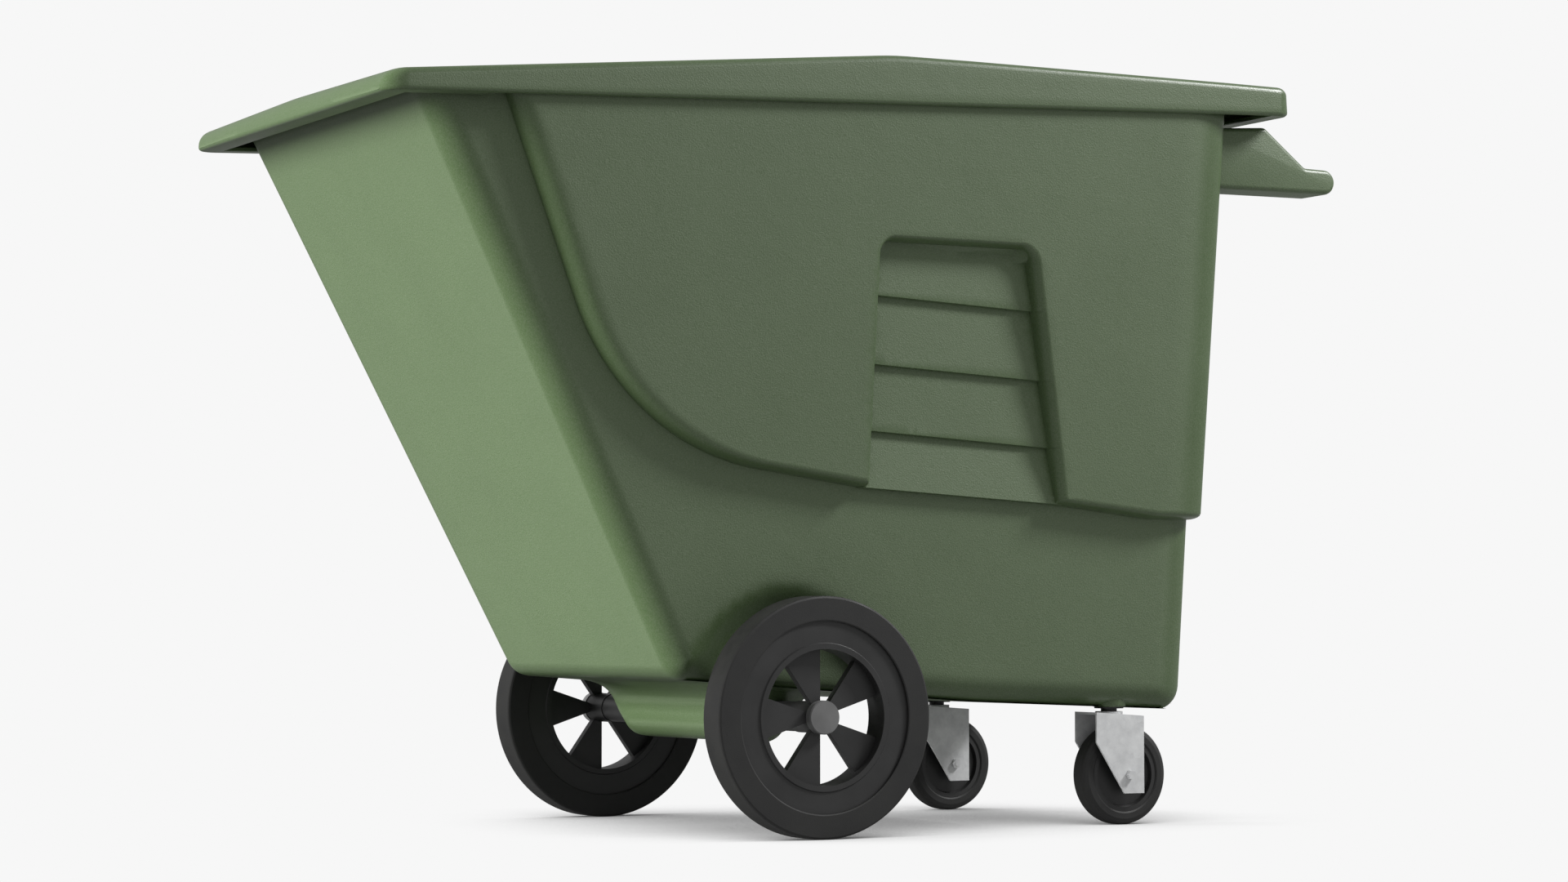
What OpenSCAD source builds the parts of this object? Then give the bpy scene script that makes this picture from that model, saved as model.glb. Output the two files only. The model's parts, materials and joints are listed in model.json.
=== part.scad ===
// Tilt truck: tilting wheeled bin with a hinged gable lid, two fixed wheels and two swivel casters.
// Lengths in mm. +X points to the handle end, -X to the pouring front, +Z up, floor at z = 0.
// Positions along X are counted from the big-wheel axle and moved by axle_x at the end.

/* [Tub] */
// half width of the side wall carried down to the floor plane
side_half_w0 = 241.4; // [239:0.1:244]
// outward lean of the side walls, mm per mm of height
side_lean = 0.0578; // [0.05:0.001:0.062]
// front wall line carried down to the floor plane, X from the axle
front_x0 = -66.6; // [-70:0.1:-60]
// forward lean of the front wall, mm per mm of height
front_lean = 0.517; // [0.50:0.001:0.53]
// rear wall line of the lower body carried down to the floor plane, X from the axle
rear_x0 = 600; // [598:0.5:602]
// lean of the lower rear wall, mm per mm of height
rear_lean = 0.0286; // [0.02:0.001:0.034]
// height of the tub underside at the rear wall
floor_rear_z = 153.9; // [153:0.1:155]
// slope of the rear stretch of the underside
floor_rear_slope = 0.0405; // [0.038:0.0005:0.043]
// X from the axle where the underside changes slope
floor_knee_x = 284; // [270:1:300]
// slope of the front stretch of the underside
floor_front_slope = 0.074; // [0.07:0.0005:0.078]
// moulded wall thickness
wall = 7; // [6:0.5:8]
// radius of the front upright corners
front_corner_r = 34; // [30:1:36]
// radius of the rear upright corners and of the bottom edges
rear_corner_r = 32; // [24:1:34]

/* [Raised side panel] */
// how far the upper side and rear panels stand out from the lower walls
panel_step = 24; // [21:0.5:26]
// rear wall line of the raised part carried down to the floor plane
panel_rear_x0 = 602.8; // [602:0.1:605]
// lean of the raised rear wall
panel_rear_lean = 0.038; // [0.034:0.001:0.04]
// X from the axle where the panel's front edge would meet its lower edge
panel_knee_x = -256; // [-265:1:-245]
// height of that corner
panel_knee_z = 491; // [480:1:500]
// lean of the panel's front edge, mm per mm of height
panel_front_lean = 0.414; // [0.40:0.002:0.43]
// fall of the panel's lower edge ahead of the pocket
panel_low_slope = 0.138; // [0.12:0.002:0.15]
// fall of the panel's lower edge across the pocket
panel_mid_slope = 0.056; // [0.05:0.002:0.07]
// fall of the panel's lower edge behind the pocket
panel_rear_slope = 0.1115; // [0.10:0.0005:0.12]
// radius of the curve between the two edges
panel_knee_r = 330; // [300:5:345]

/* [Louvred pocket] */
// X from the axle of the pocket's front edge at its foot
pocket_x = 87; // [80:1:92]
// height of the pocket's foot at its front edge
pocket_foot_z = 444; // [442:1:448]
// height of the pocket's roof
pocket_top_z = 759.5; // [755:0.5:775]
// width of the pocket at its foot
pocket_foot_w = 292; // [286:1:306]
// width of the pocket at its roof
pocket_top_w = 227; // [220:1:240]
// lean of the pocket's front edge, from its foot to its roof
pocket_lean = 8; // [4:0.5:14]
// height of the top slat's face
slat_top_h = 68.5; // [64:0.5:76]
// how far each slat's lower edge stands out
slat_out = 7; // [5:0.5:9]
// how much further the lowest slat stands out
slat_last = 4; // [0:0.5:6]

/* [Lid] */
// half width of the lid
lid_half_w = 329; // [327:0.2:331]
// front tip of the lid, X from the axle
lid_front_x = -599.7; // [-603:0.1:-596]
// rear foot of the lid, X from the axle
lid_rear_x = 739; // [732:0.1:742]
// height of the lid's lower edge above the axle line
lid_z0 = 927.3; // [925:0.1:929]
// rise of the lid's lower edge towards the rear
lid_slope = 0.0464; // [0.045:0.0002:0.048]
// X from the axle of the ridge
ridge_x = 101; // [90:1:110]
// height of the ridge
ridge_z = 995.5; // [990:0.5:997]
// height of the flat rear part of the lid
lid_rear_z = 999.6; // [998:0.2:1002]
// lid wall thickness
lid_wall = 5; // [4:0.5:6]
// width of the rim ring under the lid's front and rear
lid_ring_w = 35; // [30:1:40]
// plan radius of the lid's corners
lid_corner_r = 25; // [14:0.5:28]
// how much higher the middle of the lid stands than its sides
lid_crown = 5; // [3:0.5:12]

/* [Handle horns] */
// outer side of each horn, distance from the middle
horn_out_y = 290; // [286:0.5:292]
// width of each horn
horn_w = 63; // [58:1:66]
// tip of the grip, X from the axle
horn_tip_x = 838.8; // [830:0.2:844]
// radius of the grip nose
horn_nose_r = 17; // [14:0.5:18]

/* [Big wheels] */
// radius of the big wheels
wheel_r = 152.4; // [150:0.2:155]
// outer face of the big wheels, distance from the middle
wheel_out_y = 327.1; // [326:0.1:328]
// tread width of the big wheels
tread_w = 43.5; // [40:0.5:46]
// radius where the tyre sits on the rim
tire_seat_r = 121; // [118:0.5:124]
// inner radius of the rim
rim_in_r = 85.8; // [82:0.2:90]
// number of blades in each big wheel
blade_count = 5; // [4:1:7]
// half angle of each blade, degrees
blade_half_a = 18; // [15:0.5:20]
// radius of the hub barrel
hub_r = 20; // [19:0.25:20.5]
// radius of the axle
axle_r = 9.5; // [8:0.25:10]

/* [Casters] */
// radius of the caster wheels
caster_r = 67.35; // [65:0.05:70]
// X from the big axle to the caster wheel axle
caster_x = 518.8; // [510:0.2:525]
// distance from the middle to the caster wheels
caster_y = 218.9; // [214:0.1:222]
// distance the swivel axis leads the caster wheel axle
caster_trail = 16; // [12:0.5:20]
// tread width of the caster wheels
caster_tread_w = 30.4; // [28:0.2:32]
// outside width of the caster fork
fork_w = 52; // [50:0.5:54]
// sheet thickness of the caster fork
fork_t = 3; // [2.5:0.25:3.5]

/* [Hinge] */
// X from the big axle to the lid hinge axis
hinge_x = 750; // [749:0.5:753]
// height of the lid hinge axis
hinge_z = 968; // [966:0.5:970]
// distance from the middle to each hinge
hinge_y = 104; // [95:1:112]
// radius of the hinge pins
pin_r = 4; // [3:0.25:4.5]

/* [Hidden] */

c_tub = [0.20, 0.36, 0.17];
c_rub = [0.05, 0.05, 0.05];
c_plas = [0.07, 0.07, 0.07];
c_steel = [0.62, 0.63, 0.64];
c_grey = [0.33, 0.33, 0.34];

left = -1;   // the side at -Y
right = 1;
run = 0.08;  // radial clearance of a running fit
sit = 0.06;  // clearance between fixed pieces
far = 1500;
high = 1060;
fn_s = 32;

// the box of the whole object is centred on x = 0
axle_x = -(horn_tip_x + lid_front_x) / 2;
axle_z = wheel_r;

function side_y(z) = side_half_w0 + side_lean * z;
function front_x(z) = front_x0 - front_lean * z;
function rear_x(z) = rear_x0 + rear_lean * z;
function rear2_x(z) = panel_rear_x0 + panel_rear_lean * z;
function rim_z(x) = lid_z0 + lid_slope * x;
floor_knee_z = floor_rear_z + floor_rear_slope * (rear_x0 - floor_knee_x);
function floor_z(x) = x > floor_knee_x ? floor_rear_z + floor_rear_slope * (rear_x0 - x)
    : floor_knee_z + floor_front_slope * (floor_knee_x - x);
rim_up = 12;           // the tub's rim stands this far above the lid's lower edge
land_h = 9;            // depth of the thick land along the rim

module at_axle() { translate([axle_x, 0, 0]) children(); }
module ycyl(r, y0, y1, fn = 64) {
    translate([0, y0, 0]) rotate([-90, 0, 0]) cylinder(r = r, h = y1 - y0, $fn = fn);
}
module zcyl(r, z0, z1, fn = 64) {
    translate([0, 0, z0]) cylinder(r = r, h = z1 - z0, $fn = fn);
}
module hexbar(af, h) { cylinder(d = af / cos(30), h = h, $fn = 6); }
module side_plate(pts, y0, y1) {
    translate([0, y1, 0]) rotate([90, 0, 0]) linear_extrude(height = y1 - y0) polygon(pts);
}

// ---- tub ----
// ball of radius r touching the side wall and the underside, at height z
module ball(x, y, z, r) { translate([x, y, z]) sphere(r = r, $fn = fn_s); }
side_n = sqrt(1 + side_lean * side_lean);
front_n = sqrt(1 + front_lean * front_lean);
// centre of a ball in the front bottom corner
function fb_z(r) = (floor_knee_z + floor_front_slope * (floor_knee_x - front_x0 - r * front_n)
    + r * sqrt(1 + floor_front_slope * floor_front_slope)) / (1 - floor_front_slope * front_lean);
function fb_x(r) = front_x(fb_z(r)) + r * front_n;

module hull_body(inset) {
    rf = front_corner_r - inset;
    rr = rear_corner_r - inset;
    zf = fb_z(rf) + inset * 1.05 - inset;
    zt = high;
    hull() for (s = [-1, 1]) {
        ball(fb_x(front_corner_r) + 0, s * (side_y(fb_z(front_corner_r)) - front_corner_r * side_n),
            fb_z(front_corner_r), rf);
        ball(front_x(zt) + front_corner_r * front_n, s * (side_y(zt) - front_corner_r * side_n), zt, rf);
        for (x = [floor_knee_x, rear_x(180) - rear_corner_r])
            ball(x, s * (side_y(180) - rear_corner_r * side_n), floor_z(x) + rear_corner_r, rr);
        ball(rear_x(zt) - rear_corner_r, s * (side_y(zt) - rear_corner_r * side_n), zt, rr);
    }
}
module hull_panel(inset) {
    rr = rear_corner_r - inset;
    hull() for (s = [-1, 1]) for (z = [300, high]) {
        ball(-700, s * (side_y(z) + panel_step - rear_corner_r * side_n), z, rr);
        ball(rear2_x(z) - rear_corner_r, s * (side_y(z) + panel_step - rear_corner_r * side_n), z, rr);
    }
}
// outline of the raised panel, moved inwards by d
function knee_dir_up() = let (n = sqrt(1 + panel_front_lean * panel_front_lean))
    [-panel_front_lean / n, 1 / n];
function knee_dir_back() = let (n = sqrt(1 + panel_low_slope * panel_low_slope))
    [1 / n, -panel_low_slope / n];
knee_a = acos(knee_dir_up() * knee_dir_back());
function knee_mid(d) = let (u = knee_dir_up(), b = knee_dir_back(), m = u + b)
    [panel_knee_x, panel_knee_z] + m / norm(m) * d / sin(knee_a / 2);
function panel_pts(d) =
    let (k = knee_mid(d), u = knee_dir_up(), b = knee_dir_back(), r = panel_knee_r - d,
         t = r / tan(knee_a / 2), m = (u + b) / norm(u + b), cen = k + m * r / sin(knee_a / 2),
         p1 = k + u * t, a1 = atan2(p1[1] - cen[1], p1[0] - cen[0]), sw = 180 - knee_a, n = 18,
         bx = pocket_x, bz = panel_knee_z - panel_low_slope * (bx - panel_knee_x) + d)
    concat([k + u * 900], [for (i = [0 : n]) cen + r * [cos(a1 + sw * i / n), sin(a1 + sw * i / n)]],
        [[bx, bz], [bx + pocket_foot_w, bz - panel_mid_slope * pocket_foot_w],
         [far, bz - panel_mid_slope * pocket_foot_w - panel_rear_slope * (far - bx - pocket_foot_w)],
         [far, 1300]]);

// pocket outline at a depth: foot lifted by up
function pocket_pts(grow) = [
    [pocket_x - grow, pocket_foot_z - 60],
    [pocket_x + pocket_foot_w + 12 + grow, pocket_foot_z - 60],
    [pocket_x + pocket_foot_w + grow, pocket_foot_z - 17],
    [pocket_x + pocket_lean + pocket_top_w + grow, pocket_top_z - 18],
    [pocket_x + pocket_lean + pocket_top_w + grow - 18, pocket_top_z + grow],
    [pocket_x + pocket_lean + 18, pocket_top_z + grow],
    [pocket_x + pocket_lean - grow, pocket_top_z - 18]];
slat_count = 4;
slat_p = (pocket_top_z - pocket_foot_z - slat_top_h) / (slat_count - 1);
// the two middle slats are a little taller than the last
slat_edges = [pocket_top_z, pocket_top_z - slat_top_h, pocket_top_z - slat_top_h - slat_p - 6,
    pocket_foot_z + slat_p - 9, pocket_foot_z];

// everything within the half space below the rim plane moved up by dz
module under_rim(dz) {
    translate([0, far, 0]) rotate([90, 0, 0]) linear_extrude(height = 2 * far)
        polygon([[-far, 0], [far, 0], [far, rim_z(far) + dz], [-far, rim_z(-far) + dz]]);
}
// slab outside the lower wall plane, between off0 and off1 out, on side s
module wall_slab(s, off0, off1) {
    b = side_half_w0 + side_lean * 200;
    t = side_half_w0 + side_lean * 900;
    scale_s = s;
    rotate([90, 0, 90]) translate([0, 0, -800]) linear_extrude(height = 1600)
        polygon([[s * (b + off0), 200], [s * (t + off0), 900],
                 [s * (t + off1), 900], [s * (b + off1), 200]]);
}
module pocket_cut(s) {
    intersection() {
        wall_slab(s, 0, panel_step + 40);
        side_plate(pocket_pts(0), -500, 500);
        side_plate([[-far, pocket_foot_z - 6 + 0.05 * pocket_x + far * 0.058],
            [far, pocket_foot_z - 6 + 0.05 * pocket_x - far * 0.058], [far, 900], [-far, 900]],
            -500, 500);
    }
}
// one louvre slat: a wedge that is flush at its top and stands out at its lower edge
module slat(s, i) {
    z1 = slat_edges[i];
    z0 = slat_edges[i + 1];
    a = atan(0.04 + 0.006 * i);
    out = slat_out + (i == slat_count - 1 ? slat_last : 0);
    intersection() {
        translate([pocket_x, 0, z0]) rotate([0, a, 0]) rotate([90, 0, 90])
            translate([0, 0, -30]) linear_extrude(height = 400)
            polygon([[s * (side_y(z0) - 2), 0], [s * (side_y(z0) + out), 0],
                [s * (side_y(z1) + 0.5), z1 - z0 + 14], [s * (side_y(z1) - 2), z1 - z0 + 14]]);
        side_plate(pocket_pts(-0.2), -500, 500);
    }
}
hump_r = 36;
hump_y = 204;
module hump() {
    translate([0, 0, axle_z]) ycyl(hump_r, -hump_y, hump_y, 96);
    side_plate([[-hump_r, axle_z], [hump_r, axle_z], [hump_r + 22, 206], [-hump_r - 26, 206]],
        -hump_y, hump_y);
}
horn_in_y = horn_out_y - horn_w;
horn_low_z = 863;
horn_root_x = 632;   // inside the thickness of the rear wall
module horn(s) {
    y0 = s > 0 ? horn_in_y : -horn_out_y;
    y1 = y0 + horn_w;
    nx = horn_tip_x - horn_nose_r;
    nz = horn_low_z + horn_nose_r;
    side_plate([[horn_root_x, horn_low_z - 2.8], [nx, horn_low_z], [nx, nz + horn_nose_r],
        [nx - 31, nz + horn_nose_r + 1], [722, 949], [horn_root_x, 943]], y0, y1);
    translate([nx, 0, nz]) ycyl(horn_nose_r, y0, y1, 48);
}
king_x = caster_x - caster_trail;
pad_z = 158.6;
king_r = 6;
bracket_bolt_z = 926;
bracket_bolt_dy = 25;
bracket_lean = atan(panel_rear_lean);
screw_r = 3;

module tub() color(c_tub) at_axle() difference() {
    intersection() {
        union() {
            difference() {
                union() {
                    hull_body(0);
                    intersection() { hull_panel(0); side_plate(panel_pts(0), -500, 500); }
                }
                for (s = [-1, 1]) pocket_cut(s);
                // room inside
                intersection() { hull_body(wall); translate([-far, -far, 0]) cube([2 * far, 2 * far, 1300]); }
                difference() {
                    intersection() {
                        hull_panel(wall);
                        side_plate(panel_pts(wall), -500, 500);
                        under_rim(rim_up - land_h);
                    }
                    for (s = [-1, 1]) intersection() {
                        side_plate(pocket_pts(wall + 1), s > 0 ? 150 : -500, s > 0 ? 500 : -150);
                        wall_slab(s, -wall - 4, 60);
                    }
                }
            }
            for (s = [-1, 1]) for (i = [0 : slat_count - 1]) slat(s, i);
            difference() {
                hump();
                translate([-200, -300, floor_z(0) + wall - 1]) cube([400, 600, 200]);
            }
            for (s = [-1, 1]) {
                horn(s);
                translate([king_x, s * caster_y, 0]) zcyl(23.5, pad_z - 0.4, 170.5, 48);
            }
        }
        under_rim(rim_up);
    }
    // axle tunnel
    translate([0, 0, axle_z]) ycyl(axle_r + sit, -250, 250);
    // caster kingpin holes with spot-faced seats
    for (s = [-1, 1]) translate([king_x, s * caster_y, 0]) {
        zcyl(king_r + sit, 140, 180, 48);
        zcyl(20.6, 140, pad_z, 48);
        zcyl(20, 170, 190, 48);
    }
    // hinge bracket bolt holes
    for (s = [-1, 1]) for (d = [-1, 1])
        translate([rear2_x(bracket_bolt_z), s * hinge_y + d * bracket_bolt_dy, bracket_bolt_z])
            rotate([0, 90 - bracket_lean * 0, 0]) translate([0, 0, -60])
            cylinder(r = screw_r + 0.2, h = 90, $fn = 32);
}

// ---- axle and big wheels ----
hub_in_y = 262;
hub_out_y = 317;
module axle() color(c_steel) at_axle() translate([0, 0, axle_z]) ycyl(axle_r, -320.5, 320.5, 64);
module spacer(s) color(c_plas) at_axle() translate([0, 0, axle_z]) rotate([0, 0, s > 0 ? 0 : 180])
    difference() {
        ycyl(19, hump_y + 0.2, hub_in_y - 0.6, 64);
        ycyl(axle_r + sit, hump_y - 1, hub_in_y + 1, 64);
    }
wheel_in_y = wheel_out_y - tread_w;
module ring_y(pts, fn = 128) {
    // points are [radius, distance from the middle]
    rotate([-90, 0, 0]) rotate_extrude($fn = fn) polygon(pts);
}
module big_tire(s) color(c_rub) at_axle() translate([0, 0, axle_z]) rotate([0, 0, s > 0 ? 0 : 180])
    ring_y([[tire_seat_r, wheel_in_y + 0.6], [tire_seat_r + 1.5, wheel_in_y],
        [wheel_r - 3, wheel_in_y], [wheel_r - 0.8, wheel_in_y + 1], [wheel_r, wheel_in_y + 3.2],
        [wheel_r, wheel_out_y - 3.2], [wheel_r - 0.8, wheel_out_y - 1], [wheel_r - 3, wheel_out_y],
        [tire_seat_r + 1.5, wheel_out_y], [tire_seat_r, wheel_out_y - 0.6]], 180);
blade_y0 = 300.3;
blade_y1 = 311.3;
module big_rim(s) color(c_plas) at_axle() translate([0, 0, axle_z]) rotate([0, 0, s > 0 ? 0 : 180]) {
    difference() {
        union() {
            ring_y([[rim_in_r, wheel_in_y + 2.2], [92.6, wheel_in_y + 2.2], [94, wheel_in_y + 4],
                [tire_seat_r - sit, wheel_in_y + 4], [tire_seat_r - sit, wheel_out_y - 4],
                [94, wheel_out_y - 4], [92.6, wheel_out_y - 2.2], [rim_in_r, wheel_out_y - 2.2]], 128);
            ycyl(hub_r, hub_in_y, hub_out_y, 96);
            for (i = [0 : blade_count - 1])
                rotate([0, (s > 0 ? 0 : 1) * 180 - (180 + 360 / blade_count * i) * 1, 0])
                    translate([0, blade_y1, 0]) rotate([90, 0, 0])
                    linear_extrude(height = blade_y1 - blade_y0)
                    polygon([[0, 0],
                        [(rim_in_r + 2), -(rim_in_r + 2) * tan(blade_half_a)],
                        [(rim_in_r + 2), (rim_in_r + 2) * tan(blade_half_a)]]);
        }
        ycyl(13 + sit, 250, 330, 64);
        difference() {
            ycyl(200, 250, 400, 64);
            ycyl(tire_seat_r - sit, 240, 410, 128);
        }
    }
}
module big_bush(s) color(c_grey) at_axle() translate([0, 0, axle_z]) rotate([0, 0, s > 0 ? 0 : 180])
    difference() {
        ycyl(13, hub_in_y - 0.3, hub_out_y - 0.2, 64);
        ycyl(axle_r + run, 250, 330, 64);
    }
module big_retainer(s) color(c_steel) at_axle() translate([0, 0, axle_z])
    rotate([0, 0, s > 0 ? 0 : 180]) difference() {
        ycyl(15, hub_out_y + 0.4, hub_out_y + 2.2, 48);
        ycyl(axle_r + sit, 300, 330, 64);
    }
module big_cap(s) color(c_grey) at_axle() translate([0, 0, axle_z]) rotate([0, 0, s > 0 ? 0 : 180])
    difference() {
        union() { ycyl(21.3, 312.2, 322.6, 64); ycyl(20.3, 322.5, 323.6, 64); }
        ycyl(hub_r + sit, 300, 318.5, 64);
        ycyl(16, 300, 321.2, 64);
    }

// ---- casters ----
module at_king(s) { at_axle() translate([king_x, s * caster_y, 0]) children(); }
module at_cwheel(s) { at_axle() translate([caster_x, s * caster_y, caster_r]) children(); }
neck_z0 = 152.1;
module swivel_cup(s) color(c_plas) at_king(s) difference() {
    union() { zcyl(19.6, 156, pad_z - 0.1, 64); zcyl(10.8, neck_z0, 156.1, 64); }
    zcyl(king_r + sit, 140, 170, 48);
}
module kingpin(s) color(c_steel) at_king(s) {
    zcyl(king_r, 143, 180.5, 48);
    translate([0, 0, 138.4]) hexbar(18, 5.2);
}
module floor_washer(s) color(c_steel) at_king(s) difference() {
    zcyl(17, 170.05, 172.6, 48);
    zcyl(king_r + sit, 160, 180, 48);
}
module kingpin_nut(s) color(c_steel) at_king(s) difference() {
    translate([0, 0, 172.7]) hexbar(18, 9);
    zcyl(king_r + sit, 160, 190, 48);
}
plate_x0 = -53.5;
plate_x1 = 23.2;
plate_z0 = 42.4 - caster_r;
plate_zf = 151.4 - caster_r;   // top of the fork at its front edge
plate_zr = 146 - caster_r;     // top of the fork at its rear edge
plate_zn = 111 - caster_r;     // where the front edge starts to slant
plate_xn = -8.4;
fork_slope = (plate_zf - plate_zr) / (plate_x1 - plate_x0);
module fork(s) color(c_steel) at_cwheel(s) difference() {
    union() {
        difference() {
            side_plate([[plate_x0, plate_zf], [plate_x0, plate_zn], [plate_xn, plate_z0],
                [plate_x1, plate_z0], [plate_x1, plate_zr]], -fork_w / 2, fork_w / 2);
            side_plate([[-200, plate_zf - fork_t + fork_slope * (plate_x0 + 200)], [-200, -200],
                [200, -200], [200, plate_zf - fork_t + fork_slope * (plate_x0 - 200)]],
                -fork_w / 2 + fork_t, fork_w / 2 - fork_t);
        }
        translate([-caster_trail, 0, 0]) zcyl(18.4, 145.2 - caster_r, neck_z0 - 0.3 - caster_r, 64);
    }
    translate([-caster_trail, 0, 0]) zcyl(king_r + run, 20, 110, 48);
    ycyl(4 + sit, -60, 60, 48);
}
module caster_tire(s) color(c_rub) at_cwheel(s)
    ring_y([[50, -caster_tread_w / 2 + 1.2], [52, -caster_tread_w / 2],
        [caster_r - 8, -caster_tread_w / 2], [caster_r - 3.4, -caster_tread_w / 2 + 1.6],
        [caster_r - 0.9, -caster_tread_w / 2 + 4.4], [caster_r, -caster_tread_w / 2 + 8],
        [caster_r, caster_tread_w / 2 - 8], [caster_r - 0.9, caster_tread_w / 2 - 4.4],
        [caster_r - 3.4, caster_tread_w / 2 - 1.6], [caster_r - 8, caster_tread_w / 2],
        [52, caster_tread_w / 2], [50, caster_tread_w / 2 - 1.2]], 128);
module caster_core(s) color(c_plas) at_cwheel(s) difference() {
    union() {
        ring_y([[9, -10], [42, -8], [44, -13.6], [49.9, -13.6], [49.9, 13.6], [44, 13.6],
            [42, 8], [9, 10]], 96);
        ycyl(13, -20, 20, 64);
    }
    ycyl(7 + sit, -30, 30, 48);
}
module caster_sleeve(s) color(c_grey) at_cwheel(s) difference() {
    ycyl(7, -22.2, 22.2, 48);
    ycyl(4 + run, -30, 30, 48);
}
// bolt head on the outer side, nut on the inner side
module caster_bolt(s) color(c_steel) at_cwheel(s) {
    ycyl(4, -32.2, 32.2, 48);
    translate([0, s > 0 ? fork_w / 2 + 0.1 : -fork_w / 2 - 6.6, 0]) rotate([-90, 0, 0])
        cylinder(r = 6.5, h = 6.5, $fn = 6);
}
module caster_nut(s) color(c_steel) at_cwheel(s) difference() {
    translate([0, s > 0 ? -fork_w / 2 - 5.6 : fork_w / 2 + 0.1, 0]) rotate([-90, 0, 0])
        cylinder(r = 6.9, h = 5.5, $fn = 6);
    ycyl(4 + sit, -60, 60, 48);
}

// ---- hinge and lid ----
lug_w = 24;
arm_t = 5;
arm_gap = lug_w + 1.2;
eye_r = 9;
base_t = 4;
base_z0 = 902;
base_z1 = 951;
module at_rear_wall() {
    translate([rear2_x(bracket_bolt_z), 0, bracket_bolt_z]) rotate([0, bracket_lean, 0]) children();
}
module hinge_bracket(s) color(c_steel) at_axle() translate([0, s * hinge_y, 0]) difference() {
    union() {
        at_rear_wall() translate([sit, -33, base_z0 - bracket_bolt_z])
            cube([base_t, 66, base_z1 - base_z0]);
        for (d = [-1, 1]) {
            y0 = d > 0 ? arm_gap / 2 : -arm_gap / 2 - arm_t;
            side_plate([[rear2_x(base_z0) + 2.2, base_z0 + 2], [hinge_x - 6, hinge_z - 32],
                [hinge_x + eye_r * 0.87, hinge_z - eye_r * 0.5], [hinge_x - eye_r * 0.8, hinge_z - 4],
                [hinge_x - 14, hinge_z - 14], [rear2_x(base_z1) + 2.2, base_z1 - 1]], y0, y0 + arm_t);
            translate([hinge_x, 0, hinge_z]) ycyl(eye_r, y0, y0 + arm_t, 48);
        }
    }
    translate([hinge_x, 0, hinge_z]) ycyl(pin_r + sit, -60, 60, 48);
    for (d = [-1, 1]) translate([rear2_x(bracket_bolt_z) - 5, d * bracket_bolt_dy, bracket_bolt_z])
        rotate([0, 90, 0]) cylinder(r = screw_r + 0.2, h = 30, $fn = 32);
}
module at_screws() {
    at_axle() for (s = [-1, 1]) for (d = [-1, 1])
        translate([rear2_x(bracket_bolt_z), s * hinge_y + d * bracket_bolt_dy, bracket_bolt_z])
            rotate([0, 90, 0]) children();
}
module bracket_screws() color(c_steel) at_screws() {
    translate([0, 0, -18]) cylinder(r = screw_r, h = 24, $fn = 32);
    translate([0, 0, base_t + 0.5]) cylinder(r = 5.4, h = 3.6, $fn = 48);
}
module bracket_washers() color(c_steel) at_screws() difference() {
    translate([0, 0, -wall - 2.6]) cylinder(r = 8, h = 1.6, $fn = 48);
    translate([0, 0, -40]) cylinder(r = screw_r + sit, h = 60, $fn = 32);
}
module bracket_nuts() color(c_steel) at_screws() difference() {
    translate([0, 0, -wall - 2.7 - 5]) hexbar(10, 5);
    translate([0, 0, -40]) cylinder(r = screw_r + sit, h = 60, $fn = 32);
}
pin_half = arm_gap / 2 + arm_t;
module hinge_pins() color(c_steel) at_axle() for (s = [-1, 1])
    translate([hinge_x, s * hinge_y, hinge_z]) {
        ycyl(pin_r, -pin_half - 4, pin_half + 1, 48);
        ycyl(6.5, pin_half + 0.2, pin_half + 2.6, 48);
    }
module hinge_clips() color(c_steel) at_axle() for (s = [-1, 1])
    translate([hinge_x, s * hinge_y, hinge_z]) difference() {
        ycyl(6.2, -pin_half - 1.8, -pin_half - 0.3, 48);
        ycyl(pin_r + sit, -60, 60, 48);
    }

lid_tip_z = rim_z(lid_front_x);
lid_foot_z = rim_z(lid_rear_x);
// side outline of the lid shell along its middle, drawn t inside its outer skin
skirt_low = 60;
function lid_pts(t) = let (k = lid_crown) [
    [lid_front_x + t, lid_tip_z - skirt_low],
    [lid_front_x + t, lid_tip_z],
    [lid_front_x + 3.5 + t, lid_tip_z + 12 + 0.4 * k],
    [lid_front_x + 11 + t, lid_tip_z + 21.5 - t + 0.85 * k],
    [lid_front_x + 24 + t, lid_tip_z + 28.4 - t + k],
    [ridge_x, ridge_z - t + k], [ridge_x + 120, lid_rear_z - 2.4 - t + k],
    [lid_rear_x - 110, lid_rear_z - t + k], [lid_rear_x - 19 - t, lid_rear_z - t + k],
    [lid_rear_x - 10.4 - t, lid_rear_z - 3.4 - t + 0.85 * k], [lid_rear_x - 7.6 - t, lid_rear_z - 10 - t + 0.5 * k],
    [lid_rear_x - t, lid_foot_z], [lid_rear_x - t, lid_foot_z - skirt_low]];
// each half of the lid falls from the middle to its side by the crown
crown_a = atan(lid_crown / lid_half_w);
module lid_form(t) {
    for (s = [-1, 1]) intersection() {
        translate([-far, s > 0 ? 0 : -400, 700]) cube([2 * far, 400, 500]);
        translate([0, 0, ridge_z]) rotate([-s * crown_a, 0, 0]) translate([0, 0, -ridge_z])
            side_plate(lid_pts(t), -420, 420);
    }
}
module plan_block(d, ds) {
    x0 = lid_front_x + d;
    x1 = lid_rear_x - d;
    y1 = lid_half_w - ds;
    r = max(6, lid_corner_r - ds);
    translate([0, 0, 800]) linear_extrude(height = 300) union() {
        translate([x0 + r, -y1]) square([x1 - x0 - 2 * r, 2 * y1]);
        translate([x0, -y1 + r]) square([x1 - x0, 2 * y1 - 2 * r]);
        for (x = [x0 + r, x1 - r]) for (y = [-y1 + r, y1 - r]) translate([x, y]) circle(r = r, $fn = 48);
    }
}
ring_side_w = 7;
ring_front_w = 27;
ring_step_x = -462;   // just in front of the side panels' front edge
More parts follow.
